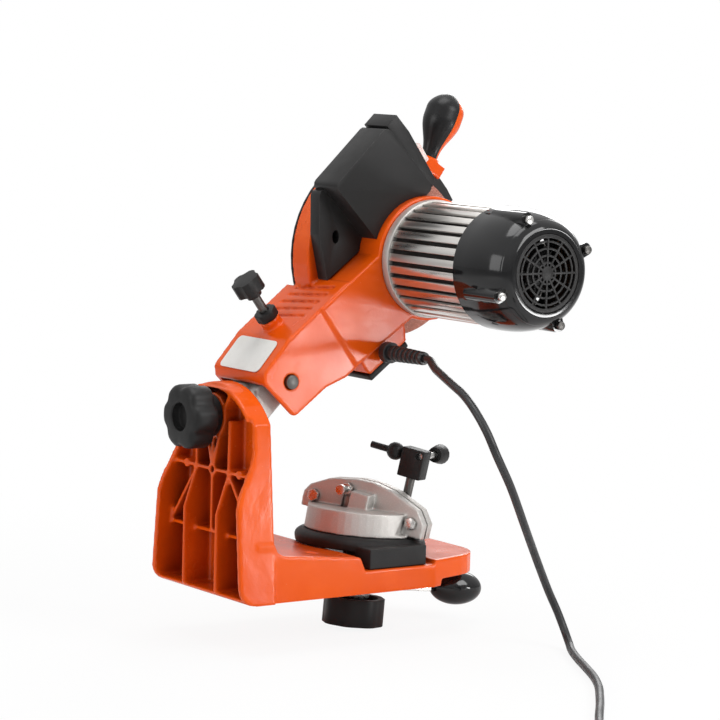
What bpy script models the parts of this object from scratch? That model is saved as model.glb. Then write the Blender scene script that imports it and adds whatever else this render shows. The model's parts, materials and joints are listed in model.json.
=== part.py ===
"""Bench mounted electric chainsaw sharpener, built from separate named pieces.

Frame: the origin is on the underside of the stand's bench rib, +Z up, -Y towards the operator,
+X to the operator's right. The head is stored raised, as it rests on its spring.
"""
import math

import bmesh
import bpy
from mathutils import Matrix, Vector

MM = 0.001
FULL_TURN = 2 * math.pi

# General fits and joins.
GAP = 0.35 * MM
SINK = 1.5 * MM
OVERRUN = 4 * MM
MERGE = 0.005 * MM
FILLET = 5 * MM
EDGE = 1.2 * MM

# Stand: side wall, web and ribs of the casting, and its plan.
WALL = 5 * MM
RIB = 3 * MM
STAND_HALF = 73 * MM
CREST_HALF = 59 * MM
SLOPE_TOP_Z = 130 * MM
CREST_SIDE_Z = 150 * MM
SLOPE_LOW_Z = 78 * MM
CREST_TOP_Z = 180 * MM
WEB_FRONT_Y = 24 * MM
WEB_REAR_Y = WEB_FRONT_Y + WALL
REAR_LOW_Y = 59 * MM
REAR_HIGH_Y = 41 * MM
RIB_HIGH_Y = 45 * MM
RIB_STEP_LOW_Z = 72 * MM
RIB_STEP_HIGH_Z = 104 * MM
RIB_SIDE_X = 24 * MM
CROSS_RIB_LOW_Z = 53 * MM
CROSS_RIB_HIGH_Z = 106 * MM
SPOKE_HUB_R = 5.5 * MM
SPOKE_HUB_BORE = 3 * MM
SPOKE_SPREAD = math.radians(34)
SPOKE_REACH_SHARE = 0.8
PAD_R = 4 * MM
CROWN_RIB_SHARE = 0.6
CROWN_ROOM = 10 * MM
DECK_HALF = 69 * MM
DECK_REAR_Z = 39.3 * MM
DECK_SLOT_REAR_Y = -64 * MM
DECK_SLOT_Z = 20 * MM
DECK_SLOT_FRONT_Y = -143 * MM
DECK_FRONT_Z = 23.8 * MM
DECK_FRONT_Y = -206 * MM
DECK_NOTCH_Y = -152 * MM
DECK_NOTCH_Z = 6 * MM
DECK_FRONT_HALF = 52 * MM
FRONT_CORNER = 38 * MM
PLATE_FILLET = 11 * MM
BENCH_RIB = 14 * MM
BENCH_HOLE_R = 4.3 * MM
BENCH_HOLE_X = 44 * MM
BENCH_HOLE_Y = -30 * MM
FOOT_ROUND = 15 * MM

# Tilt axis of the head, along Y.
TILT_Z = 152 * MM
STUD_R = 6 * MM
STUD_HEAD_Y = 16 * MM
TILT_BOSS_R = 19 * MM
FLANGE_R = 26 * MM
FLANGE_FRONT_Y = 13.5 * MM
LUG_HALF = 22 * MM
LUG_R = 15 * MM
KNOB_R = 28 * MM
KNOB_FRONT_Y = RIB_HIGH_Y + GAP
KNOB_LONG = 33 * MM
KNOB_LOBES = 6
KNOB_DIP = 3.2 * MM
KNOB_RECESS_R = 12 * MM
KNOB_RECESS = 8 * MM

# Arm pivot, along X, and the arm's own frame: it rises forward by ARM_PITCH.
PIVOT_Y = -9.5 * MM
PIVOT_Z = 181.5 * MM
ARM_PITCH = math.radians(37)
PIN_R = 6 * MM
ARM_NEAR_X = -38 * MM
ARM_FAR_X = 42 * MM
ARM_SKIN = 6 * MM
MOTOR_REACH = 173.3 * MM
MOTOR_DROP = -3.5 * MM
NECK_FAR_X = 2 * MM
PIN_BOSS_R = 13 * MM
MOUNT_R = 54 * MM
SHAFT_BORE_R = 16 * MM
ARM_BOX_END = 68 * MM
BEAM_TAIL_Y = 22 * MM
BEAM_TAIL_H = 15 * MM
BEAM_HEEL_Y = 17 * MM
BEAM_HEEL_H = 23 * MM
BEAM_CREST_Y = -19 * MM
BEAM_CREST_H = 31 * MM
BEAM_FRONT_Y = -98 * MM
BEAM_FRONT_H = 33 * MM
BEAM_BELLY_Y = -46 * MM
BEAM_THROAT_Y = -25 * MM
BEAM_THROAT_H = -27 * MM
BEAM_SKIRT_Y = 15 * MM
MOUNT_FROM = math.radians(41)
MOUNT_TO = math.radians(325)
MOUNT_ROOT_Y = -60 * MM
MOUNT_ROOT_H = 31 * MM
SWITCH_BOX_TOP_H = -25 * MM
SWITCH_BOX_REAR_Y = -56 * MM
SWITCH_BOX_FRONT_Y = -130 * MM
SWITCH_BOX_MARGIN = 2 * MM
TAIL_OPEN_Y = 30 * MM
TAIL_ROOF_H = 12.2 * MM
TAIL_STEP_Y = 13 * MM
TAIL_STEP_H = 17 * MM
ROOF_REAR_H = 25 * MM
ROOF_FRONT_H = 26 * MM
CAVITY_LOW_H = -60 * MM
STOP_BOSS_ROOT_H = 20 * MM
STOP_FACE_H = 33 * MM
GROOVES = 5
GROOVE_Y = -47 * MM
GROOVE_PITCH = -9.5 * MM
GROOVE_WIDE = 3 * MM
GROOVE_HALF = 26 * MM
GROOVE_SLANT = 7 * MM
GROOVE_H = 30.2 * MM

# Grinding wheel and its guard, on the motor's axis.
WHEEL_R = 72.5 * MM
WHEEL_THICK = 4.5 * MM
WHEEL_X = 18 * MM
WHEEL_BORE_R = 11 * MM
GUARD_R = 92 * MM
GUARD_REARWARD = 6 * MM
GUARD_BAND = 4 * MM
GUARD_LIP = 12 * MM
GUARD_NEAR_X = 6 * MM
GUARD_FAR_X = 30 * MM
GUARD_FROM = math.radians(-42)
GUARD_TO = math.radians(125)
COVER_SKIN = 2 * MM
FLANGE_CLAMP_R = 22 * MM
FLANGE_CLAMP = 5 * MM
NUT_R = 10 * MM
NUT_THICK = 7 * MM

# Black cover over the wheel's upper half, in the plane of the wheel, seen from the wheel's axis.
COVER_NEAR_X = -30 * MM
COVER_FAR_X = GUARD_NEAR_X - GAP
COVER_SIDE = 73 * MM
COVER_TURN = math.radians(46)
COVER_REARWARD = 44 * MM
COVER_RISE = 62 * MM
COVER_WALL = 3 * MM
CAP_THICK = 14 * MM
CAP_SHORT = 20 * MM
CAP_LIP = 4 * MM
CAP_LOW_SHARE = 0.5
FLAP_NEAR_X = -8 * MM
FLAP_TOP = (97 * MM, 66 * MM)
FLAP_REAR = (96 * MM, 20 * MM)
FLAP_FOOT = (84 * MM, -30 * MM)
FLAP_TOE = (66 * MM, -36 * MM)
FLAP_NECK = (44 * MM, 13 * MM)
FLAP_HOLE = (79 * MM, 18 * MM)
FLAP_HOLE_R = 3.6 * MM
FLAP_HOLE_LONG = 6 * MM
LAMP_AT = -15 * MM
LAMP_INSET = 4 * MM
LAMP_WIDE = 15 * MM
DISC_FROM = math.radians(-38)
DISC_TO = math.radians(122)
DISC_HUB = 8 * MM
FAR_FROM = math.radians(-60)
FAR_TO = math.radians(150)
LAMP_LONG = 18 * MM
LAMP_THICK = 12 * MM

# Motor along X.
MOTOR_FLANGE = 8 * MM
BARREL_R = 50 * MM
BARREL_ROOT = 46 * MM
BARREL_LONG = 93 * MM
BARREL_BORE = 40 * MM
FIN_COUNT = 30
FIN_SHARE = 0.62
STATOR_BORE = 25 * MM
ROTOR_R = 24 * MM
SHAFT_R = 5 * MM
CAP_R = 52 * MM
CAP_LONG = 62 * MM
CAP_STRAIGHT = 14 * MM
CAP_NOSE_R = 36 * MM
CAP_WALL = 3 * MM
GRILLE_R = 32.5 * MM
GRILLE_THICK = 3 * MM
GRILLE_HUB = 6 * MM
GRILLE_RING = 1.6 * MM
GRILLE_RINGS = 4
GRILLE_SPOKES = 12
FAN_R = 30 * MM
FAN_BLADES = 8
FAN_HUB_R = 11 * MM
FAN_LONG = 14 * MM
FAN_BLADE_THICK = 1.6 * MM
FAN_AT_SHARE = 0.25
CAP_VENTS = 6
CAP_VENT_R = 8 * MM
CAP_VENT_OUT = 28 * MM
CAP_BOSS_TURN_SHARE = 0.75
BEARING_R = 11 * MM
BEARING_WIDE = 8 * MM
CAP_BOSS_R = 6 * MM
CAP_BOSS_OUT = 47.7 * MM
CAP_BOSS_LONG = 42 * MM
CAP_BOSS_FROM = 6.5 * MM
CAP_SCREW_R = 3.6 * MM
CAP_SCREW_PROUD = 4 * MM
CAP_BOSSES = 4

# Handle.
HANDLE_X = 16 * MM
HANDLE_AT = math.radians(115.9)
HANDLE_SEAT = 2.6 * MM
HANDLE_LEAN = math.radians(22)
HANDLE_LONG = 60 * MM
HANDLE_BOSS_R = 9.5 * MM
HANDLE_BOSS = 5.5 * MM
HANDLE_BULB = 17 * MM
HANDLE_NECK = 7.5 * MM
HANDLE_SPLIT = -3 * MM

# Depth stop.
STOP_REACH = 32 * MM
STOP_R = 4 * MM
STOP_LONG = 78 * MM
STOP_PROUD = 42 * MM
STOP_BOSS_R = 9 * MM
STOP_BOSS = 6 * MM
STOP_NUT_R = 10 * MM
STOP_NUT = 8 * MM
STOP_KNOB_R = 13 * MM
STOP_KNOB = 13 * MM
STOP_X = 3 * MM

# Rating plate on the tail, bare.
LABEL_WIDE = 60 * MM
LABEL_LONG = 33 * MM
LABEL_THICK = 0.6 * MM
LABEL_AT = (3 * MM, 1.5 * MM, 26.85 * MM)
LABEL_LEAN = math.radians(-12.5)

# Switch and cord boot, in the arm's frame.
SWITCH_FROM = 68 * MM
SWITCH_TO = 116 * MM
SWITCH_H = -50 * MM
SWITCH_THICK = 6 * MM
SWITCH_HALF = 30 * MM
ROCKER_LONG = 22 * MM
ROCKER_WIDE = 15 * MM
ROCKER_PROUD = 4 * MM
BOOT_REACH = 90.5 * MM
BOOT_DROP = -41 * MM
BOOT_R = 9 * MM
BOOT_END_R = 5.6 * MM
BOOT_LONG = 56 * MM
BOOT_RINGS = 7
BOOT_COLLAR = 8 * MM
BOOT_NECK = 2 * MM
BOOT_RIB_R = 7 * MM

# Vise: its axis leans forward by VISE_LEAN on the sloping deck.
VISE_Y = -110 * MM
VISE_Z = 29.3 * MM
VISE_LEAN = math.radians(4.5)
SWIVEL_REST = math.radians(30)
JAW_LEAN = math.radians(-8)
SEAT_R = 58 * MM
SEAT_HIGH = 12 * MM
SEAT_BORE_R = 20 * MM
SEAT_LUG_HALF = 31 * MM
SEAT_LUG_X = -66 * MM
SEAT_LUG_ROOT_X = -30 * MM
SEAT_LUG_SHIFT = 6 * MM
SEAT_LUG_HIGH = 8 * MM
SEAT_SLOPE = 5 * MM
SEAT_DROP = 3 * MM
VISE_TAPER = 2 * MM
NOTCH_UP = 9 * MM
JAW_ROOM = 1 * MM
TENSION_POCKET = 7 * MM
TENSION_POCKET_UP = 5 * MM
TENSION_POCKET_HIGH = 15 * MM
TENSION_IN = 4 * MM
LOCK_CUP = 6 * MM
VISE_R = 50 * MM
VISE_HIGH = 33 * MM
JAW_HALF = 59 * MM
JAW_THICK = 9 * MM
JAW_FOOT = 21 * MM
JAW_END = 13 * MM
JAW_CREST = 37 * MM
CHAIN_SLOT = 1.2 * MM
JAW_TRAVEL = 2 * MM
JAW_BOLT_X = 48 * MM
NOTCH_X = 41 * MM
JAW_BOLT_Z = 33 * MM
JAW_BOLT_R = 3.5 * MM
JAW_BOLT_HEAD_R = 5.6 * MM
JAW_BOLT_HEAD = 4 * MM
BUTTRESS_X = 0 * MM
BUTTRESS_HALF = 9 * MM
BUTTRESS_DEEP = 13 * MM
BUTTRESS_Z = 48 * MM
TENSION_X = 17 * MM
TENSION_Z = 47 * MM
TENSION_R = 3 * MM
TENSION_LONG = 20 * MM
TENSION_NUT_R = 5.5 * MM
TENSION_NUT = 5 * MM
VISE_BOSS_R = 15 * MM
VISE_BOSS_LOW = -30 * MM
VISE_STUD_TOP = 17 * MM
LOCK_TOP = -46 * MM
LOCK_HIGH = 24 * MM
LOCK_R = 27 * MM
LEVER_TOP = -34 * MM
LEVER_THICK = 6 * MM
LEVER_HUB_R = 13 * MM
LEVER_LONG = 96 * MM
LEVER_WIDE = 9 * MM
LEVER_TURN = math.radians(-103)
EGG_LONG = 50 * MM
EGG_R = 15.5 * MM
EGG_DROP = -2 * MM

# Chain stop on the far side of the vise, in the jaws' frame.
STOP_POST_X = -26 * MM
STOP_POST_Y = -19 * MM
STOP_POST_R = 4 * MM
STOP_POST_LOW = 38 * MM
STOP_POST_HIGH = 70 * MM
PAWL_BLOCK = (22 * MM, 16 * MM, 26 * MM)
PAWL_BLOCK_Z = 80 * MM
PAWL_ARM_LONG = 34 * MM
PAWL_ARM_R = 3 * MM
PAWL_BALL_R = 8 * MM
PAWL_KNOB_R = 9 * MM
PAWL_KNOB = 13 * MM
PAWL_SCREW_R = 3 * MM
PAWL_SCREW_LONG = 34 * MM

# Cord: a mains lead and its route, points chosen by hand in metres.
CORD_R = 3.5 * MM
FLOOR_Z = -43 * MM
CORD_ROUTE = [
    (-0.0957, -0.1064, 0.2032), (-0.1035, -0.1053, 0.2026), (-0.1130, -0.1010, 0.2002),
    (-0.1250, -0.0958, 0.1975), (-0.1400, -0.0912, 0.1945), (-0.1590, -0.0865, 0.1900),
    (-0.1802, -0.0835, 0.1832),
    (-0.2000, -0.0805, 0.1730), (-0.2150, -0.0820, 0.1570), (-0.2208, -0.0885, 0.1380),
    (-0.2105, -0.1121, 0.1088), (-0.1941, -0.1396, 0.0746), (-0.1732, -0.1709, 0.0389),
    (-0.1590, -0.1960, 0.0080), (-0.1570, -0.2080, -0.0110), (-0.1620, -0.2120, -0.0258),
    (-0.1730, -0.2090, -0.0357), (-0.1870, -0.2010, -0.0392), (-0.2160, -0.1840, -0.0392),
    (-0.2480, -0.1670, -0.0392), (-0.2790, -0.1500, -0.0392), (-0.3080, -0.1310, -0.0392),
    (-0.3350, -0.1100, -0.0392), (-0.3620, -0.0880, -0.0392), (-0.3890, -0.0650, -0.0392),
    (-0.4150, -0.0440, -0.0392), (-0.4420, -0.0230, -0.0392), (-0.4700, -0.0020, -0.0392),
    (-0.4980, 0.0180, -0.0392),
]
CORD_STEP = 17 * MM
COIL_TUBE_R = 35.5 * MM
COIL_ROWS = 3
COIL_LAYERS = 3
PLUG_R = 19 * MM
PLUG_LONG = 34 * MM
PLUG_TAIL = 14 * MM
PLUG_TAIL_R = 8 * MM
PLUG_PIN_R = 2.4 * MM
PLUG_PIN_LONG = 19 * MM
PLUG_PIN_APART = 19 * MM

# Arm return spring beside the bracket's lug.
SPRING_R = 7.6 * MM
SPRING_WIRE_R = 1.1 * MM
SPRING_TURNS = 3
SPRING_STEPS = 12

PARTS = bpy.data.collections.new("chainsaw_sharpener")
CUTTERS = bpy.data.collections.new("cutters")


def clear_scene():
    """Remove what the scene holds and link the two collections."""
    for obj in list(bpy.data.objects):
        bpy.data.objects.remove(obj, do_unlink=True)
    for collection in (PARTS, CUTTERS):
        bpy.context.scene.collection.children.link(collection)


def material(name, colour, roughness, metallic=0.0):
    """A plain Principled material."""
    made = bpy.data.materials.new(name)
    made.use_nodes = True
    shader = made.node_tree.nodes["Principled BSDF"]
    shader.inputs["Base Color"].default_value = (*colour, 1.0)
    shader.inputs["Roughness"].default_value = roughness
    shader.inputs["Metallic"].default_value = metallic
    return made


def frame_at(name, place, turn=(0, 0, 0), parent=None):
    """An empty that carries pieces."""
    empty = bpy.data.objects.new(name, None)
    PARTS.objects.link(empty)
    empty.location = place
    empty.rotation_euler = turn
    empty.parent = parent
    return empty


def add(name, mesh, parent, finish, place=(0, 0, 0), turn=(0, 0, 0)):
    """Link a mesh object as a node, or as a cutter when it has no finish."""
    obj = bpy.data.objects.new(name, mesh)
    if finish is None:
        CUTTERS.objects.link(obj)
        obj.hide_render = True
        obj.display_type = "WIRE"
    else:
        PARTS.objects.link(obj)
        mesh.materials.append(finish)
        mesh.shade_smooth()
        mesh.set_sharp_from_angle(angle=math.radians(35))
    obj.location = place
    obj.rotation_euler = turn
    obj.parent = parent
    return obj


TURN_TO = {"X": (0, math.pi / 2, 0), "Y": (-math.pi / 2, 0, 0), "Z": (0, 0, 0)}


def block(name, low, high, parent, finish=None, edge=0):
    """A box between two corners, with its edges eased when edge is given."""
    mesh = bpy.data.meshes.new(name)
    shape = bmesh.new()
    low, high = Vector(low), Vector(high)
    size = high - low
    bmesh.ops.create_cube(shape, size=1)
    bmesh.ops.transform(shape, matrix=Matrix.Diagonal((*size, 1)), verts=shape.verts)
    shape.to_mesh(mesh)
    shape.free()
    obj = add(name, mesh, parent, finish, (low + high) / 2)
    if edge:
        bevel = obj.modifiers.new("edge", "BEVEL")
        bevel.width = edge
        bevel.segments = 2
    return obj


def rod(name, radius, start, long, axis, parent, finish=None, sides=24, end_radius=None):
    """A cylinder or cone from start, along an axis."""
    mesh = bpy.data.meshes.new(name)
    shape = bmesh.new()
    far = radius if end_radius is None else end_radius
    bmesh.ops.create_cone(shape, cap_ends=True, segments=sides, radius1=radius, radius2=far, depth=long)
    bmesh.ops.translate(shape, vec=(0, 0, long / 2), verts=shape.verts)
    shape.to_mesh(mesh)
    shape.free()
    return add(name, mesh, parent, finish, start, TURN_TO[axis])


def ball(name, radius, centre, parent, finish=None, stretch=(1, 1, 1), sides=20, turn=(0, 0, 0)):
    """A sphere, stretched along its own axes."""
    mesh = bpy.data.meshes.new(name)
    shape = bmesh.new()
    bmesh.ops.create_uvsphere(shape, u_segments=sides, v_segments=sides // 2, radius=radius)
    bmesh.ops.transform(shape, matrix=Matrix.Diagonal((*stretch, 1)), verts=shape.verts)
    shape.to_mesh(mesh)
    shape.free()
    return add(name, mesh, parent, finish, centre, turn)


def turned(name, profile, start, axis, parent, finish=None, sides=32, ring=False):
    """A turned shape: radius and height pairs, outer side from top to bottom."""
    mesh = bpy.data.meshes.new(name)
    edges = [(i, i + 1) for i in range(len(profile) - 1)]
    if ring:
        edges.append((len(profile) - 1, 0))
    mesh.from_pydata([(r, 0, z) for r, z in profile], edges, [])
    obj = add(name, mesh, parent, finish, start, TURN_TO[axis])
    screw = obj.modifiers.new("turn", "SCREW")
    screw.steps = screw.render_steps = sides
    screw.use_merge_vertices = True
    screw.merge_threshold = MERGE
    screw.use_smooth_shade = True
    return obj


def tube(name, outer, inner, start, long, axis, parent, finish=None, sides=32):
    """A turned sleeve."""
    profile = [(outer, long), (outer, 0), (inner, 0), (inner, long)]
    return turned(name, profile, start, axis, parent, finish, sides, ring=True)


def rounded(corners, radius, steps=3):
    """An outline whose corners are arcs; a corner may give its own radius."""
    points = []
    count = len(corners)
    for i, corner in enumerate(corners):
        here = Vector(corner[:2])
        before = Vector(corners[i - 1][:2]) - here
        after = Vector(corners[(i + 1) % count][:2]) - here
        own = corner[2] if len(corner) > 2 else radius
        half = before.angle(after) / 2
        if own <= 0 or half > math.radians(85):
            points.append(tuple(here))
            continue
        reach = min(own / math.tan(half), before.length * 0.45, after.length * 0.45)
        arc = reach * math.tan(half)
        middle = here + (before.normalized() + after.normalized()).normalized() * arc / math.sin(half)
        first = here + before.normalized() * reach - middle
        last = here + after.normalized() * reach - middle
        sweep = first.angle_signed(last)
        for k in range(steps + 1):
            turn = Matrix.Rotation(-sweep * k / steps, 2)
            points.append(tuple(middle + turn @ first))
    return points


def arc(centre, radius, start, end, steps):
    """Points along a circle, angles from the first axis towards the second."""
    return [(centre[0] + radius * math.cos(start + (end - start) * k / steps),
             centre[1] + radius * math.sin(start + (end - start) * k / steps)) for k in range(steps + 1)]


PLANES = {"YZ": (math.pi / 2, 0, math.pi / 2), "XZ": (math.pi / 2, 0, 0), "XY": (0, 0, 0)}
NORMALS = {"YZ": (1, 0, 0), "XZ": (0, -1, 0), "XY": (0, 0, 1)}


def slab(name, outlines, low, high, plane, parent, finish=None):
    """A flat outline, with any holes as further outlines, between two distances along its normal."""
    curve = bpy.data.curves.new(name, "CURVE")
    curve.dimensions = "2D"
    curve.fill_mode = "BOTH"
    curve.extrude = (high - low) / 2
    for outline in outlines:
        spline = curve.splines.new("POLY")
        spline.points.add(len(outline) - 1)
        for point, (u, v) in zip(spline.points, outline):
            point.co = (u, v, 0, 1)
        spline.use_cyclic_u = True
    drawn = bpy.data.objects.new(name, curve)
    bpy.context.scene.collection.objects.link(drawn)
    graph = bpy.context.evaluated_depsgraph_get()
    mesh = bpy.data.meshes.new_from_object(drawn.evaluated_get(graph), depsgraph=graph)
    bpy.data.objects.remove(drawn, do_unlink=True)
    bpy.data.curves.remove(curve)
    shape = bmesh.new()
    shape.from_mesh(mesh)
    bmesh.ops.remove_doubles(shape, verts=shape.verts, dist=MERGE)
    bmesh.ops.dissolve_limit(shape, angle_limit=math.radians(1), verts=shape.verts, edges=shape.edges)
    bmesh.ops.triangulate(shape, faces=[f for f in shape.faces if len(f.verts) > 4])
    bmesh.ops.recalc_face_normals(shape, faces=shape.faces)
    shape.to_mesh(mesh)
    shape.free()
    place = Vector(NORMALS[plane]) * (low + high) / 2
    return add(name, mesh, parent, finish, place, PLANES[plane])


def wire(name, points, radius, parent, finish, resolution=2):
    """A round wire along straight steps between points, with closed ends."""
    curve = bpy.data.curves.new(name, "CURVE")
    curve.dimensions = "3D"
    curve.bevel_depth = radius
    curve.bevel_resolution = resolution
    curve.use_fill_caps = True
    spline = curve.splines.new("POLY")
    spline.points.add(len(points) - 1)
    for point, place in zip(spline.points, points):
        point.co = (*place, 1)
    obj = bpy.data.objects.new(name, curve)
    curve.materials.append(finish)
    obj.parent = parent
    PARTS.objects.link(obj)
    return obj


def combine(kind, obj, others):
    """Boolean modifiers on obj, one for each other solid."""
    for other in others:
        modifier = obj.modifiers.new(kind.lower(), "BOOLEAN")
        modifier.operation = kind
        modifier.object = other
    return obj


def join(obj, *others):
    """Union."""
    return combine("UNION", obj, others)


def cut(obj, *others):
    """Difference."""
    return combine("DIFFERENCE", obj, others)


def lobed(radius, dip, lobes, steps=6):
    """Outline of a lobed grip."""
    count = lobes * steps
    points = []
    for k in range(count):
        angle = FULL_TURN * k / count
        reach = radius - dip * (1 - math.cos(lobes * angle)) ** 2 / 4
        points.append((reach * math.cos(angle), reach * math.sin(angle)))
    return points


def ring_points(radius, sides):
    """Outline of a circle or a regular polygon."""
    return arc((0, 0), radius, 0, FULL_TURN * (sides - 1) / sides, sides - 1)


def side_half(height):
    """Half the plate's width at a height: its sides run in a straight line."""
    return STAND_HALF + (CREST_HALF - STAND_HALF) * height / CREST_SIDE_Z


def plate_outline(inset):
    """The upright plate's outline in X and Z, taken in by inset."""
    low, crest, top = inset, CREST_HALF - inset, CREST_TOP_Z - inset
    rise = top - CREST_SIDE_Z
    radius = (crest ** 2 + rise ** 2) / (2 * rise)
    reach = math.asin(crest / radius)
    crown = arc((0, top - radius), radius, math.pi / 2 - reach, math.pi / 2 + reach, 14)
    return crown + [(inset - side_half(low), low), (side_half(low) - inset, low)]


def rear_slope(steps):
    """The side walls' rear edge from the narrow upper part to the deep lower part, in Y and Z."""
    points = []
    for k in range(steps + 1):
        share = k / steps
        ease = share * share * (3 - 2 * share)
        points.append((REAR_HIGH_Y + (REAR_LOW_Y - REAR_HIGH_Y) * ease,
                       SLOPE_TOP_Z + (SLOPE_LOW_Z - SLOPE_TOP_Z) * share))
    return points


def rib_outline(low, high):
    """A rib's depth over its height: it is deeper low down."""
    front = WEB_REAR_Y - SINK
    points = [(front, low)]
    if low < RIB_STEP_LOW_Z:
        points += [(REAR_LOW_Y - RIB, low), (REAR_LOW_Y - RIB, RIB_STEP_LOW_Z), (RIB_HIGH_Y, RIB_STEP_HIGH_Z)]
    else:
        points += [(RIB_HIGH_Y, low)]
    return points + [(RIB_HIGH_Y, high), (front, high)]


def rib_between(name, start, end, parent):
    """A rib of the plate between two places in X and Z."""
    a, b = Vector(start), Vector(end)
    side = Vector((a.y - b.y, b.x - a.x)).normalized() * RIB / 2
    outline = [tuple(a + side), tuple(a - side), tuple(b - side), tuple(b + side)]
    return slab(name, [outline], -RIB_HIGH_Y, -(WEB_REAR_Y - SINK), "XZ", parent)


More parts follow.
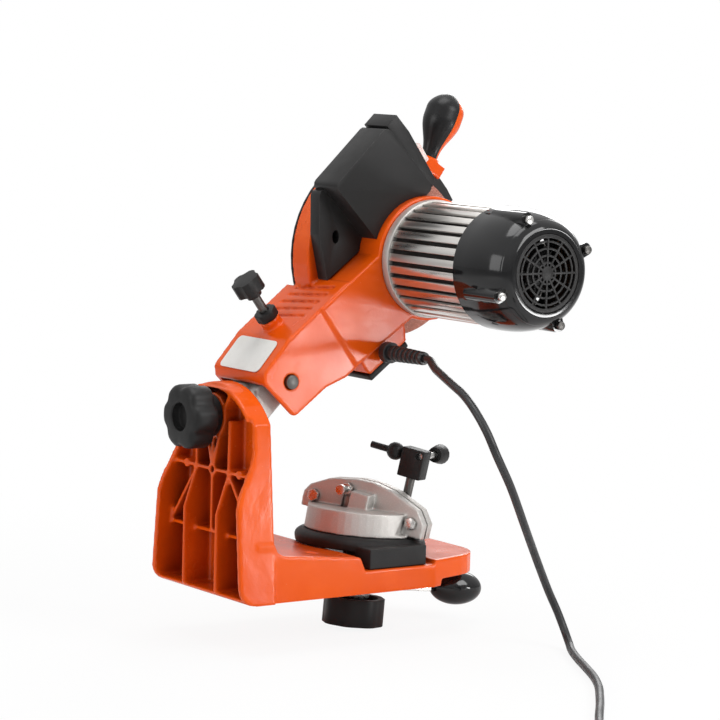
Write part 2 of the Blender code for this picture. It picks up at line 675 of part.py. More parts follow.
def build_stand(parent, paint):
    """The casting: deck, side walls and the ribbed upright plate."""
    fillet = [(WEB_FRONT_Y, DECK_REAR_Z + PLATE_FILLET),
              (WEB_FRONT_Y - PLATE_FILLET * 0.3, DECK_REAR_Z + PLATE_FILLET * 0.3),
              (WEB_FRONT_Y - PLATE_FILLET, DECK_REAR_Z)]
    slot_lip_z = VISE_Z - GAP + (DECK_SLOT_REAR_Y - VISE_Y) * math.tan(VISE_LEAN) - GAP
    side = [(REAR_HIGH_Y, 0), (REAR_HIGH_Y, DECK_REAR_Z + PLATE_FILLET)] + fillet
    side += [(DECK_SLOT_REAR_Y, slot_lip_z), (DECK_SLOT_REAR_Y - FILLET, DECK_SLOT_Z),
             (DECK_SLOT_FRONT_Y + EDGE, DECK_SLOT_Z), (DECK_SLOT_FRONT_Y, DECK_FRONT_Z),
             (DECK_FRONT_Y, DECK_FRONT_Z), (DECK_FRONT_Y, DECK_NOTCH_Z),
             (DECK_NOTCH_Y, DECK_NOTCH_Z), (DECK_NOTCH_Y, 0)]
    stand = slab("stand", [side], -STAND_HALF, STAND_HALF, "YZ", parent, paint)
    plan = rounded([(DECK_HALF, REAR_LOW_Y, 0), (-DECK_HALF, REAR_LOW_Y, 0), (-DECK_HALF, DECK_SLOT_FRONT_Y),
                    (-DECK_FRONT_HALF, DECK_FRONT_Y, FRONT_CORNER), (DECK_FRONT_HALF, DECK_FRONT_Y, FRONT_CORNER),
                    (DECK_HALF, DECK_SLOT_FRONT_Y)], FILLET, 5)
    trim = slab("stand_plan", [plan], -OVERRUN, DECK_REAR_Z + 2 * PLATE_FILLET, "XY", parent)
    combine("INTERSECT", stand, [trim])
    rear = slab("stand_plate", [plate_outline(0)], -REAR_LOW_Y, -WEB_FRONT_Y, "XZ", parent)
    hollow = slab("stand_pocket", [plate_outline(WALL)], -REAR_LOW_Y - OVERRUN, -WEB_REAR_Y, "XZ", parent)
    cavity_roof = [(WEB_FRONT_Y - WALL, -OVERRUN), (WEB_FRONT_Y - WALL, DECK_REAR_Z - WALL),
                   (DECK_SLOT_REAR_Y + WALL, slot_lip_z - WALL),
                   (DECK_SLOT_REAR_Y, DECK_SLOT_Z - WALL), (DECK_SLOT_FRONT_Y, DECK_SLOT_Z - WALL),
                   (DECK_SLOT_FRONT_Y, -OVERRUN)]
    rear_cavity = slab("stand_cavity_rear", [cavity_roof], -DECK_HALF + WALL, DECK_HALF - WALL, "YZ", parent)
    room, front = DECK_FRONT_HALF - WALL, DECK_FRONT_Y + WALL
    nose = rounded([(room, DECK_SLOT_FRONT_Y + OVERRUN, 0), (-room, DECK_SLOT_FRONT_Y + OVERRUN, 0),
                    (-room, front, FRONT_CORNER), (room, front, FRONT_CORNER)], FILLET, 5)
    front_cavity = slab("stand_cavity_front", [nose], -OVERRUN, DECK_SLOT_Z - WALL, "XY", parent)
    join(stand, rear)
    cut(stand, hollow, rear_cavity, front_cavity)
    bench = block("stand_bench_rib", (-DECK_HALF + SINK, -BENCH_RIB / 2, 0),
                  (DECK_HALF - SINK, BENCH_RIB / 2, DECK_REAR_Z - WALL), parent)
    boss = rod("stand_vise_boss", VISE_BOSS_R, (0, VISE_Y, VISE_Z + VISE_BOSS_LOW), -VISE_BOSS_LOW - WALL,
               "Z", parent)
    tilt_boss = rod("stand_tilt_boss", TILT_BOSS_R, (0, WEB_REAR_Y - SINK, TILT_Z),
                    RIB_HIGH_Y - WEB_REAR_Y + SINK, "Y", parent)
    hub = rod("stand_spoke_hub", SPOKE_HUB_R, (0, WEB_REAR_Y - SINK, CROSS_RIB_HIGH_Z),
              RIB_HIGH_Y - WEB_REAR_Y + SINK, "Y", parent, sides=16)
    ribs = [slab("stand_rib_left", [rib_outline(SINK, CREST_SIDE_Z)], -RIB_SIDE_X - RIB, -RIB_SIDE_X,
                 "YZ", parent),
            slab("stand_rib_right", [rib_outline(SINK, CREST_SIDE_Z)], RIB_SIDE_X, RIB_SIDE_X + RIB,
                 "YZ", parent),
            block("stand_rib_middle", (-RIB / 2, WEB_REAR_Y - SINK, CROSS_RIB_LOW_Z),
                  (RIB / 2, RIB_HIGH_Y, CROSS_RIB_HIGH_Z), parent)]
    for label, height in (("low", CROSS_RIB_LOW_Z), ("high", CROSS_RIB_HIGH_Z)):
        half = side_half(height) - WALL + SINK
        ribs.append(block("stand_cross_rib_" + label, (-half, WEB_REAR_Y - SINK, height - RIB / 2),
                          (half, RIB_HIGH_Y, height + RIB / 2), parent))
    hub_at = (0, CROSS_RIB_HIGH_Z)
    for k, angle in enumerate((-SPOKE_SPREAD, 0, SPOKE_SPREAD)):
        end = (math.sin(angle) * TILT_BOSS_R, TILT_Z - math.cos(angle) * TILT_BOSS_R * SPOKE_REACH_SHARE)
        ribs.append(rib_between(f"stand_spoke_{k}", hub_at, end, parent))
    for k, hand in enumerate((-1, 1)):
        ribs.append(rib_between(f"stand_brace_{k}", (hand * RIB_SIDE_X, CROSS_RIB_HIGH_Z),
                                (hand * (side_half(CROSS_RIB_LOW_Z) - WALL), CROSS_RIB_LOW_Z + PAD_R), parent))
        ribs.append(rib_between(f"stand_crown_rib_{k}", (hand * TILT_BOSS_R * CROWN_RIB_SHARE, TILT_Z),
                                (hand * RIB_SIDE_X, CREST_TOP_Z - CROWN_ROOM), parent))
        ribs.append(rod(f"stand_pad_{k}", PAD_R, (hand * (CREST_HALF + RIB_SIDE_X) / 2, WEB_REAR_Y - SINK,
                                                 CROSS_RIB_HIGH_Z), RIB_HIGH_Y - WEB_REAR_Y + SINK, "Y", parent,
                        sides=12))
    join(stand, bench, boss, tilt_boss, hub, *ribs)
    slope = [(REAR_HIGH_Y, CREST_TOP_Z + OVERRUN)] + rear_slope(8)
    slope += [(REAR_LOW_Y + OVERRUN, SLOPE_LOW_Z), (REAR_LOW_Y + OVERRUN, CREST_TOP_Z + OVERRUN)]
    spare = TILT_BOSS_R + FILLET
    for k, (low_x, high_x) in enumerate(((-STAND_HALF - OVERRUN, -CREST_HALF + WALL + SINK),
                                        (CREST_HALF - WALL - SINK, STAND_HALF + OVERRUN))):
        cut(stand, slab(f"stand_slope_{k}", [slope], low_x, high_x, "YZ", parent))
    crown = [(REAR_HIGH_Y, CREST_TOP_Z + OVERRUN), (REAR_HIGH_Y, TILT_Z + spare),
             (REAR_LOW_Y + OVERRUN, TILT_Z + spare), (REAR_LOW_Y + OVERRUN, CREST_TOP_Z + OVERRUN)]
    cut(stand, slab("stand_crown_trim", [crown], -STAND_HALF, STAND_HALF, "YZ", parent))
    shoulder_trim = block("stand_crown_back", (-STAND_HALF, RIB_HIGH_Y, SLOPE_TOP_Z),
                          (STAND_HALF, REAR_LOW_Y + OVERRUN, CREST_TOP_Z), parent)
    foot = [(REAR_LOW_Y + OVERRUN, -OVERRUN), (REAR_LOW_Y - FOOT_ROUND, -OVERRUN)]
    foot += arc((REAR_LOW_Y - FOOT_ROUND, FOOT_ROUND), FOOT_ROUND, -math.pi / 2, 0, 5)
    foot += [(REAR_LOW_Y + OVERRUN, FOOT_ROUND)]
    foot_trim = slab("stand_foot_trim", [foot], -STAND_HALF - OVERRUN, STAND_HALF + OVERRUN, "YZ", parent)
    tilt_bore = rod("stand_tilt_bore", STUD_R + GAP, (0, 0, TILT_Z), REAR_LOW_Y, "Y", parent)
    hub_bore = rod("stand_hub_bore", SPOKE_HUB_BORE, (0, 0, CROSS_RIB_HIGH_Z), REAR_LOW_Y, "Y", parent, sides=12)
    cut(stand, shoulder_trim, foot_trim, tilt_bore, hub_bore)
    for k, hand in enumerate((-1, 1)):
        cut(stand, rod(f"stand_bench_hole_{k}", BENCH_HOLE_R, (hand * BENCH_HOLE_X, BENCH_HOLE_Y, 0),
                       DECK_REAR_Z + OVERRUN, "Z", parent, sides=16))
    return stand


def build_tilt(root, cast, black, steel):
    """Tilt bracket with its lug, the stud and the lock knob behind the plate."""
    bracket = rod("tilt_bracket", FLANGE_R, (0, FLANGE_FRONT_Y, TILT_Z), WEB_FRONT_Y - GAP - FLANGE_FRONT_Y,
                  "Y", root, cast, sides=40)
    lug = [(FLANGE_FRONT_Y + SINK, TILT_Z - LUG_R), (FLANGE_FRONT_Y + SINK, TILT_Z + FLANGE_R * 0.85)]
    lug += arc((PIVOT_Y, PIVOT_Z), LUG_R, math.radians(75), math.radians(215), 10)
    lug_body = slab("bracket_lug", [lug], -LUG_HALF, LUG_HALF, "YZ", root)
    pin_bore = rod("bracket_pin_bore", PIN_R + GAP, (-STAND_HALF, PIVOT_Y, PIVOT_Z), 2 * STAND_HALF, "X", root)
    stud_hole = rod("bracket_stud_hole", STUD_R + GAP, (0, STUD_HEAD_Y - GAP, TILT_Z), REAR_LOW_Y, "Y", root)
    room = tube("bracket_spring_room", SPRING_R + 3 * SPRING_WIRE_R, PIN_R - EDGE,
                (-SPRING_TURNS * SPRING_WIRE_R * 3, PIVOT_Y, PIVOT_Z), SPRING_TURNS * SPRING_WIRE_R * 6, "X", root)
    join(bracket, lug_body)
    cut(bracket, pin_bore, stud_hole, room)
    stud_end = KNOB_FRONT_Y + KNOB_LONG - KNOB_RECESS - WALL
    rod("tilt_stud", STUD_R, (0, STUD_HEAD_Y, TILT_Z), stud_end - STUD_HEAD_Y, "Y", root, steel)
    grip = slab("tilt_lock_knob", [lobed(KNOB_R, KNOB_DIP, KNOB_LOBES)],
                -(KNOB_FRONT_Y + KNOB_LONG), -(KNOB_FRONT_Y + FILLET), "XZ",
                frame_at("tilt_axis", (0, 0, TILT_Z), parent=root), black)
    ease = grip.modifiers.new("edge", "BEVEL")
    ease.width = EDGE * 1.5
    ease.segments = 2
    ease.limit_method = "ANGLE"
    neck = rod("tilt_knob_neck", KNOB_R * 0.62, (0, KNOB_FRONT_Y, TILT_Z), FILLET + SINK, "Y", root)
    join(grip, neck)
    blind = rod("tilt_knob_bore", STUD_R + GAP, (0, 0, TILT_Z), stud_end + GAP, "Y", root)
    recess = rod("tilt_knob_recess", KNOB_RECESS_R, (0, KNOB_FRONT_Y + KNOB_LONG - KNOB_RECESS, TILT_Z),
                 KNOB_RECESS + OVERRUN, "Y", root)
    cut(grip, blind, recess)
    pin_end = ARM_FAR_X + SINK
    rod("pivot_pin", PIN_R, (ARM_NEAR_X - SINK, PIVOT_Y, PIVOT_Z), pin_end - ARM_NEAR_X + SINK, "X", root, steel)
    coil = []
    total = SPRING_TURNS * SPRING_STEPS
    for k in range(total + 1):
        angle = FULL_TURN * k / SPRING_STEPS
        along = (k / total - 0.5) * SPRING_TURNS * SPRING_WIRE_R * 3
        coil.append((along, PIVOT_Y + SPRING_R * math.cos(angle), PIVOT_Z + SPRING_R * math.sin(angle)))
    wire("arm_return_spring", coil, SPRING_WIRE_R, root, steel, resolution=1)


def guard_sector(outer, inner, centre):
    """Part of a ring around centre in Y and Z."""
    steps = 22
    out = arc(centre, outer, GUARD_FROM, GUARD_TO, steps)
    back = arc(centre, inner, GUARD_TO, GUARD_FROM, steps)
    return out + back


def build_head(arm, hub, paint):
    """The painted casting: arm, pivot cheeks, motor mount and wheel guard in one piece."""
    beam = [(BEAM_TAIL_Y, BEAM_TAIL_H), (BEAM_HEEL_Y, BEAM_HEEL_H), (BEAM_CREST_Y, BEAM_CREST_H),
            (BEAM_FRONT_Y, BEAM_FRONT_H), (BEAM_FRONT_Y, -BEAM_FRONT_H), (BEAM_BELLY_Y, -BEAM_FRONT_H),
            (BEAM_THROAT_Y, BEAM_THROAT_H), (BEAM_SKIRT_Y, BEAM_THROAT_H)]
    head = slab("head_casting", [rounded(beam, FILLET)], ARM_NEAR_X + EDGE, ARM_FAR_X, "YZ", arm, paint)
    circle = arc((-MOTOR_REACH, MOTOR_DROP), MOUNT_R, MOUNT_FROM, MOUNT_TO, 30)
    mount = circle + [(MOUNT_ROOT_Y, -MOUNT_ROOT_H), (MOUNT_ROOT_Y, MOUNT_ROOT_H)]
    far = slab("head_motor_mount", [mount], ARM_NEAR_X, NECK_FAR_X, "YZ", arm)
    chin = [(-SWITCH_TO, SWITCH_H), (-SWITCH_FROM - SWITCH_BOX_MARGIN, SWITCH_H),
            (SWITCH_BOX_REAR_Y, SWITCH_BOX_TOP_H), (SWITCH_BOX_FRONT_Y, SWITCH_BOX_TOP_H)]
    switch_box = slab("head_switch_box", [chin], -SWITCH_HALF - EDGE, SWITCH_HALF, "YZ", arm)
    centre = (GUARD_REARWARD, 0)
    band = slab("guard_band", [guard_sector(GUARD_R, GUARD_R - GUARD_BAND, centre)],
                GUARD_NEAR_X, GUARD_FAR_X, "YZ", hub)
    lip = slab("guard_lip", [guard_sector(GUARD_R - SINK, GUARD_R - GUARD_LIP, centre)],
               GUARD_NEAR_X, GUARD_NEAR_X + GUARD_BAND, "YZ", hub)
    drum = rod("guard_room", GUARD_R - GUARD_BAND, (GUARD_NEAR_X + GUARD_BAND, GUARD_REARWARD, 0),
               2 * GUARD_FAR_X, "X", hub, sides=48)
    side_room = rod("guard_side_room", GUARD_R - GUARD_LIP, (NECK_FAR_X + GAP, GUARD_REARWARD, 0),
                    2 * GUARD_FAR_X, "X", hub, sides=48)
    front_room = block("guard_front_room", (NECK_FAR_X + GAP, -2 * GUARD_R, -2 * GUARD_R),
                       (2 * GUARD_FAR_X, -GUARD_R * 0.35, -GUARD_R * 0.3), hub)
    join(head, far, switch_box)
    cover_room = rod("guard_cover_room", GUARD_R + GAP, (GUARD_FAR_X, GUARD_REARWARD, 0), 2 * GUARD_FAR_X, "X",
                     hub, sides=48)
    cut(head, drum, side_room, front_room, cover_room)
    join(head, band, lip)
    inner = [(TAIL_OPEN_Y, CAVITY_LOW_H), (TAIL_OPEN_Y, TAIL_ROOF_H), (BEAM_HEEL_Y, TAIL_ROOF_H),
             (TAIL_STEP_Y, TAIL_STEP_H), (BEAM_CREST_Y, ROOF_REAR_H), (-ARM_BOX_END, ROOF_FRONT_H),
             (-ARM_BOX_END, CAVITY_LOW_H)]
    cavity = slab("head_cavity", [inner], ARM_NEAR_X + ARM_SKIN, ARM_FAR_X - ARM_SKIN, "YZ", arm)
    cut(head, cavity)
    cheeks = [rod("cheek_near", PIN_BOSS_R, (ARM_NEAR_X + SINK, 0, 0), -LUG_HALF - GAP - ARM_NEAR_X - SINK,
                  "X", arm),
              rod("cheek_far", PIN_BOSS_R, (LUG_HALF + GAP, 0, 0), ARM_FAR_X - SINK - LUG_HALF - GAP, "X", arm)]
    stop_boss = rod("head_stop_boss", STOP_BOSS_R, (STOP_X, -STOP_REACH, STOP_BOSS_ROOT_H),
                    STOP_FACE_H + STOP_BOSS - STOP_BOSS_ROOT_H, "Z", arm)
    join(head, *cheeks, stop_boss)
    pin_bore = rod("head_pin_bore", PIN_R + GAP, (ARM_NEAR_X - OVERRUN, 0, 0),
                   ARM_FAR_X - ARM_NEAR_X + 2 * OVERRUN, "X", arm)
    stop_bore = rod("head_stop_bore", STOP_R + GAP, (STOP_X, -STOP_REACH, CAVITY_LOW_H), -2 * CAVITY_LOW_H, "Z", arm)
    shaft_bore = rod("head_shaft_bore", SHAFT_BORE_R, (ARM_NEAR_X - OVERRUN, 0, 0), STAND_HALF, "X", hub)
    cut(head, pin_bore, stop_bore, shaft_bore)
    for k in range(GROOVES):
        y = GROOVE_Y + GROOVE_PITCH * k
        groove = [(-GROOVE_HALF, y), (-GROOVE_HALF, y - GROOVE_WIDE), (GROOVE_HALF, y - GROOVE_WIDE + GROOVE_SLANT),
                  (GROOVE_HALF, y + GROOVE_SLANT)]
        cut(head, slab(f"head_groove_{k}", [groove], GROOVE_H, BEAM_FRONT_H + OVERRUN, "XY", arm))
    return head


def build_covers(hub, arm, black, clear):
    """Black wheel cover with its lamp cap, the disc in the guard and the far cover."""
    turn = Matrix.Rotation(COVER_TURN, 2)
    middle = Vector((COVER_REARWARD, COVER_RISE))
    half = COVER_SIDE / 2

    def square(inset):
        corners = [(-half + inset, -half + inset), (half - inset, -half + inset),
                   (half - inset, half - inset), (-half + inset, half - inset)]
        return [tuple(middle + turn @ Vector(c)) for c in corners]

    cover = slab("wheel_cover", [rounded(square(0), FILLET)], COVER_NEAR_X, COVER_FAR_X, "YZ", hub, black)
    inside = slab("cover_inside", [square(COVER_WALL)], COVER_NEAR_X + COVER_WALL, COVER_FAR_X + OVERRUN,
                  "YZ", hub)
    skirt = [FLAP_TOP, FLAP_NECK, FLAP_TOE, FLAP_FOOT, FLAP_REAR]
    flap = slab("cover_flap", [rounded(skirt, FILLET)], FLAP_NEAR_X, COVER_FAR_X, "YZ", hub)
    oval = [(FLAP_HOLE[0] + FLAP_HOLE_R * math.cos(FULL_TURN * k / 16),
             FLAP_HOLE[1] + FLAP_HOLE_LONG * math.sin(FULL_TURN * k / 16)) for k in range(16)]
    slot = slab("cover_oval", [oval], FLAP_NEAR_X - OVERRUN, COVER_FAR_X + OVERRUN, "YZ", hub)
    clear_motor = rod("cover_motor_room", MOUNT_R + GAP, (COVER_NEAR_X - OVERRUN, 0, 0), STAND_HALF, "X", hub,
                      sides=48)
    beam_top = block("cover_beam_room", (COVER_NEAR_X - OVERRUN, -MOTOR_REACH, 0),
                     (COVER_FAR_X + OVERRUN, OVERRUN, BEAM_FRONT_H + GAP), arm)
    join(cover, flap)
    cut(cover, inside, slot, clear_motor, beam_top)
    out = turn @ Vector((0, 1))
    along = turn @ Vector((1, 0))
    start = middle + out * (half + GAP)
    low_end, high_end = CAP_LIP - half, half - CAP_SHORT

    def cap_top(place):
        """Thickness of the cap at a place along its seat."""
        share = (high_end - place) / (high_end - low_end)
        return CAP_THICK * (1 - (1 - CAP_LOW_SHARE) * min(1, max(0, share)))

    cap = [start + along * half, start - along * half, start + along * low_end + out * cap_top(low_end),
           start + along * high_end + out * CAP_THICK, start + along * half + out * CAP_THICK]
    cap_body = slab("cover_cap", [[tuple(p) for p in cap]], COVER_NEAR_X + EDGE, COVER_FAR_X, "YZ", hub, black)
    ends = (LAMP_AT + LAMP_LONG / 2, LAMP_AT - LAMP_LONG / 2)
    lens = [start + along * end + out * (cap_top(end) + GAP) for end in ends]
    lens += [start + along * end + out * (cap_top(end) + GAP + LAMP_THICK) for end in reversed(ends)]
    slab("lamp_lens", [rounded([tuple(p) for p in lens], EDGE)], COVER_FAR_X - LAMP_WIDE - LAMP_INSET,
         COVER_FAR_X - LAMP_INSET, "YZ", hub, clear)
    centre = (GUARD_REARWARD, 0)
    disc = arc(centre, GUARD_R - GUARD_BAND - GAP, DISC_FROM, DISC_TO, 24)
    disc += arc((0, 0), SHAFT_BORE_R + DISC_HUB, DISC_TO, DISC_FROM, 8)
    slab("guard_disc", [disc], GUARD_NEAR_X + GUARD_BAND + GAP, GUARD_NEAR_X + GUARD_BAND + GAP + COVER_SKIN,
         "YZ", hub, black)
    far = arc(centre, GUARD_R, FAR_FROM, FAR_TO, 28)
    slab("far_cover", [far], GUARD_FAR_X + GAP, GUARD_FAR_X + GAP + COVER_SKIN, "YZ", hub, black)
    return cap_body


def build_wheel(hub, stone, steel):
    """Grinding wheel, its flanges and nut, and the motor's shaft with the rotor."""
    half = WHEEL_THICK / 2
    tube("grinding_wheel", WHEEL_R, WHEEL_BORE_R, (WHEEL_X - half, 0, 0), WHEEL_THICK, "X", hub, stone, sides=64)
    inner = WHEEL_X - half - GAP - FLANGE_CLAMP
    flange = tube("wheel_flanges", FLANGE_CLAMP_R, SHAFT_R + GAP, (inner, 0, 0), FLANGE_CLAMP, "X", hub, steel)
    spigot = tube("wheel_spigot", WHEEL_BORE_R - GAP, SHAFT_R + GAP, (inner, 0, 0), FLANGE_CLAMP + WHEEL_THICK,
                  "X", hub)
    join(flange, spigot)
    outer = WHEEL_X + half + GAP
    nut_high = min(NUT_THICK, GUARD_FAR_X - outer - 2 * GAP)
    nut = slab("wheel_nut", [ring_points(NUT_R, 6)], outer, outer + nut_high, "YZ", hub, steel)
    cut(nut, rod("wheel_nut_bore", SHAFT_R + GAP, (0, 0, 0), GUARD_FAR_X + OVERRUN, "X", hub))


def build_motor(hub, alloy, black, steel, copper):
    """Motor: flange, finned barrel, stator, rotor, bearings, fan, end cap and grille."""
    face = ARM_NEAR_X - GAP
    flange = tube("motor_flange", BARREL_R + EDGE, BEARING_R + GAP, (face - MOTOR_FLANGE, 0, 0), MOTOR_FLANGE,
                  "X", hub, alloy, sides=48)
    barrel_end = face - MOTOR_FLANGE - GAP - BARREL_LONG
    fins = []
    for k in range(FIN_COUNT):
        start = FULL_TURN * k / FIN_COUNT
        wide = FULL_TURN / FIN_COUNT * FIN_SHARE
        for radius, angle in ((BARREL_ROOT, start), (BARREL_R, start), (BARREL_R, start + wide),
                              (BARREL_ROOT, start + wide)):
            fins.append((radius * math.cos(angle), radius * math.sin(angle)))
    barrel = slab("motor_barrel", [fins, ring_points(BARREL_BORE, 40)], barrel_end, barrel_end + BARREL_LONG,
                  "YZ", hub, alloy)
    tube("motor_stator", BARREL_BORE - GAP, STATOR_BORE, (barrel_end + WALL, 0, 0), BARREL_LONG - 2 * WALL, "X",
         hub, copper)
    cap_face = barrel_end - GAP
    nose = cap_face - CAP_LONG
    shaft_end = nose + WALL + GRILLE_THICK
    shaft_far = GUARD_FAR_X - GAP
    shaft = rod("motor_shaft", SHAFT_R, (shaft_end, 0, 0), shaft_far - shaft_end, "X", hub, steel)
    rotor = rod("rotor_core", ROTOR_R, (barrel_end + 2 * WALL, 0, 0), BARREL_LONG - 4 * WALL, "X", hub, sides=32)
    join(shaft, rotor)
    for label, at in (("front", face - MOTOR_FLANGE), ("rear", cap_face - BEARING_WIDE - WALL)):
        tube("bearing_" + label, BEARING_R, SHAFT_R + GAP, (at, 0, 0), min(BEARING_WIDE, MOTOR_FLANGE), "X", hub,
             steel, sides=24)
    curve = []
    steps = 8
    for k in range(steps + 1):
        angle = math.pi / 2 * k / steps
        curve.append((CAP_NOSE_R + (CAP_R - CAP_NOSE_R) * math.cos(angle),
                      (CAP_LONG - CAP_STRAIGHT) * (1 - math.sin(angle))))
    inner_curve = [(r - CAP_WALL, max(z, 0)) for r, z in reversed(curve)]
    bore, inside = BEARING_R + GAP, CAP_R - CAP_WALL
    carrier_high = CAP_LONG - WALL
    carrier_low = carrier_high - BEARING_WIDE
    profile = [(CAP_R, CAP_LONG)] + curve + inner_curve
    profile += [(inside, carrier_low), (bore, carrier_low), (bore, carrier_high), (inside, carrier_high),
                (inside, CAP_LONG)]
    cap = turned("motor_end_cap", profile, (nose, 0, 0), "X", hub, black, sides=44, ring=True)
    vents = []
    for k in range(CAP_VENTS):
        angle = FULL_TURN * k / CAP_VENTS
        place = (nose + CAP_LONG / 2, CAP_VENT_OUT * math.cos(angle), CAP_VENT_OUT * math.sin(angle))
        vents.append(rod(f"cap_vent_{k}", CAP_VENT_R, place, CAP_LONG, "X", hub, sides=12))
    cut(cap, *vents)
    for k in range(CAP_BOSSES):
        angle = FULL_TURN * (k + CAP_BOSS_TURN_SHARE) / CAP_BOSSES
        y, z = CAP_BOSS_OUT * math.cos(angle), CAP_BOSS_OUT * math.sin(angle)
        start = nose + CAP_BOSS_FROM
        boss = rod(f"cap_boss_{k}", CAP_BOSS_R, (start, y, z), CAP_BOSS_LONG, "X", hub, sides=16)
        join(cap, boss)
        rod(f"cap_screw_{k + 1}", CAP_SCREW_R, (start - GAP - CAP_SCREW_PROUD, y, z), CAP_SCREW_PROUD, "X", hub,
            steel, sides=12)
    rings = [ring_points(GRILLE_R, 40), ring_points(GRILLE_R - 2 * GRILLE_RING, 40)]
    grille = slab("fan_grille", rings, nose + GAP, nose + GAP + GRILLE_THICK, "YZ", hub, black)
    for k in range(GRILLE_RINGS):
        radius = GRILLE_HUB + (GRILLE_R - 2 * GRILLE_RING - GRILLE_HUB) * (k + 0.5) / GRILLE_RINGS
        outlines = [ring_points(radius + GRILLE_RING / 2, 32), ring_points(radius - GRILLE_RING / 2, 32)]
        join(grille, slab(f"grille_ring_{k}", outlines, nose + GAP + EDGE / 2, nose + GRILLE_THICK - EDGE / 4,
                          "YZ", hub))
    bars = []
    for k in range(GRILLE_SPOKES // 2):
        angle = math.pi * k / (GRILLE_SPOKES // 2)
        along = Vector((math.cos(angle), math.sin(angle))) * (GRILLE_R - GRILLE_RING)
        side = Vector((-along.y, along.x)).normalized() * GRILLE_RING / 2
        bar = [tuple(along + side), tuple(-along + side), tuple(-along - side), tuple(along - side)]
        bars.append(slab(f"grille_bar_{k}", [bar], nose + GAP + EDGE / 4, nose + GRILLE_THICK, "YZ", hub))
    join(grille, *bars)
    join(grille, rod("grille_hub", GRILLE_HUB, (nose + GAP, 0, 0), GRILLE_THICK + EDGE / 2, "X", hub, sides=16))
    fan_at = nose + CAP_LONG * FAN_AT_SHARE
    fan = tube("cooling_fan", FAN_HUB_R, SHAFT_R + GAP, (fan_at, 0, 0), FAN_LONG, "X", hub, black)
    for k in range(FAN_BLADES):
        angle = FULL_TURN * k / FAN_BLADES
        along = Vector((math.cos(angle), math.sin(angle)))
        side = Vector((-along.y, along.x)) * FAN_BLADE_THICK / 2
        root, tip = along * (FAN_HUB_R - SINK), along * FAN_R
        blade = [tuple(root + side), tuple(root - side), tuple(tip - side), tuple(tip + side)]
        join(fan, slab(f"fan_blade_{k}", [blade], fan_at + EDGE, fan_at + FAN_LONG - EDGE, "YZ", hub))
    return flange, barrel


def build_handle(hub, black, paint):
    """Egg shaped handle: a black grip on a painted core."""
    seat = GUARD_R + HANDLE_SEAT
    foot = (HANDLE_X, GUARD_REARWARD + seat * math.cos(HANDLE_AT), seat * math.sin(HANDLE_AT))
    lean = frame_at("handle_axis", foot, (HANDLE_LEAN, 0, 0), hub)
    profile = [(0, HANDLE_LONG)]
    steps = 12
    for k in range(1, steps):
        share = k / steps
        height = HANDLE_LONG * (1 - share)
        if share < 0.4:
            radius = HANDLE_BULB * math.sin(math.pi / 2 * min(1, share / 0.26)) ** 0.6
        else:
            fall = (share - 0.4) / 0.6
            radius = HANDLE_NECK + (HANDLE_BULB - HANDLE_NECK) * (0.5 + 0.5 * math.cos(math.pi * fall)) ** 1.2
        profile.append((radius, height))
    profile += [(HANDLE_NECK, 0), (0, 0)]
    for name, finish, keep in (("handle_grip", black, 1), ("handle_core", paint, -1)):
        half = turned(name, profile, (0, 0, 0), "Z", lean, finish, sides=24)
        low = GAP / 2 if keep > 0 else -2 * HANDLE_BULB
        high = 2 * HANDLE_BULB if keep > 0 else -GAP / 2
        box = block(name + "_half", (-2 * HANDLE_BULB, low + HANDLE_SPLIT, -OVERRUN),
                    (2 * HANDLE_BULB, high + HANDLE_SPLIT, HANDLE_LONG + OVERRUN), lean)
        combine("INTERSECT", half, [box])
    return lean


def build_stop(arm, black, steel, paint):
    """Depth stop: threaded rod, lock nut and knob."""
    base = STOP_FACE_H + STOP_BOSS + GAP
    rod("depth_screw", STOP_R, (STOP_X, -STOP_REACH, base + STOP_PROUD - STOP_LONG), STOP_LONG - STOP_KNOB / 2,
        "Z", arm, steel, sides=16)
    nut_axis = frame_at("stop_axis", (STOP_X, -STOP_REACH, 0), parent=arm)
    nut = slab("depth_lock_nut", [lobed(STOP_NUT_R, EDGE, 6, 4), ring_points(STOP_R + GAP, 16)], base,
               base + STOP_NUT, "XY", nut_axis, black)
    top = base + STOP_PROUD
    knob = slab("depth_knob", [lobed(STOP_KNOB_R, 2 * EDGE, 5, 5)], top - STOP_KNOB, top, "XY", nut_axis, black)
    neck = rod("depth_knob_neck", STOP_R * 1.7, (STOP_X, -STOP_REACH, top - STOP_KNOB - FILLET), FILLET + SINK,
               "Z", arm)
    join(knob, neck)
    cut(knob, rod("depth_knob_bore", STOP_R + GAP, (STOP_X, -STOP_REACH, 0), top - STOP_KNOB / 2 + GAP, "Z", arm))
    label = block("rating_plate", (-LABEL_WIDE / 2, -LABEL_LONG / 2, 0), (LABEL_WIDE / 2, LABEL_LONG / 2, LABEL_THICK),
                  frame_at("label_face", LABEL_AT, (LABEL_LEAN, 0, 0), arm), paint)
    return nut, label


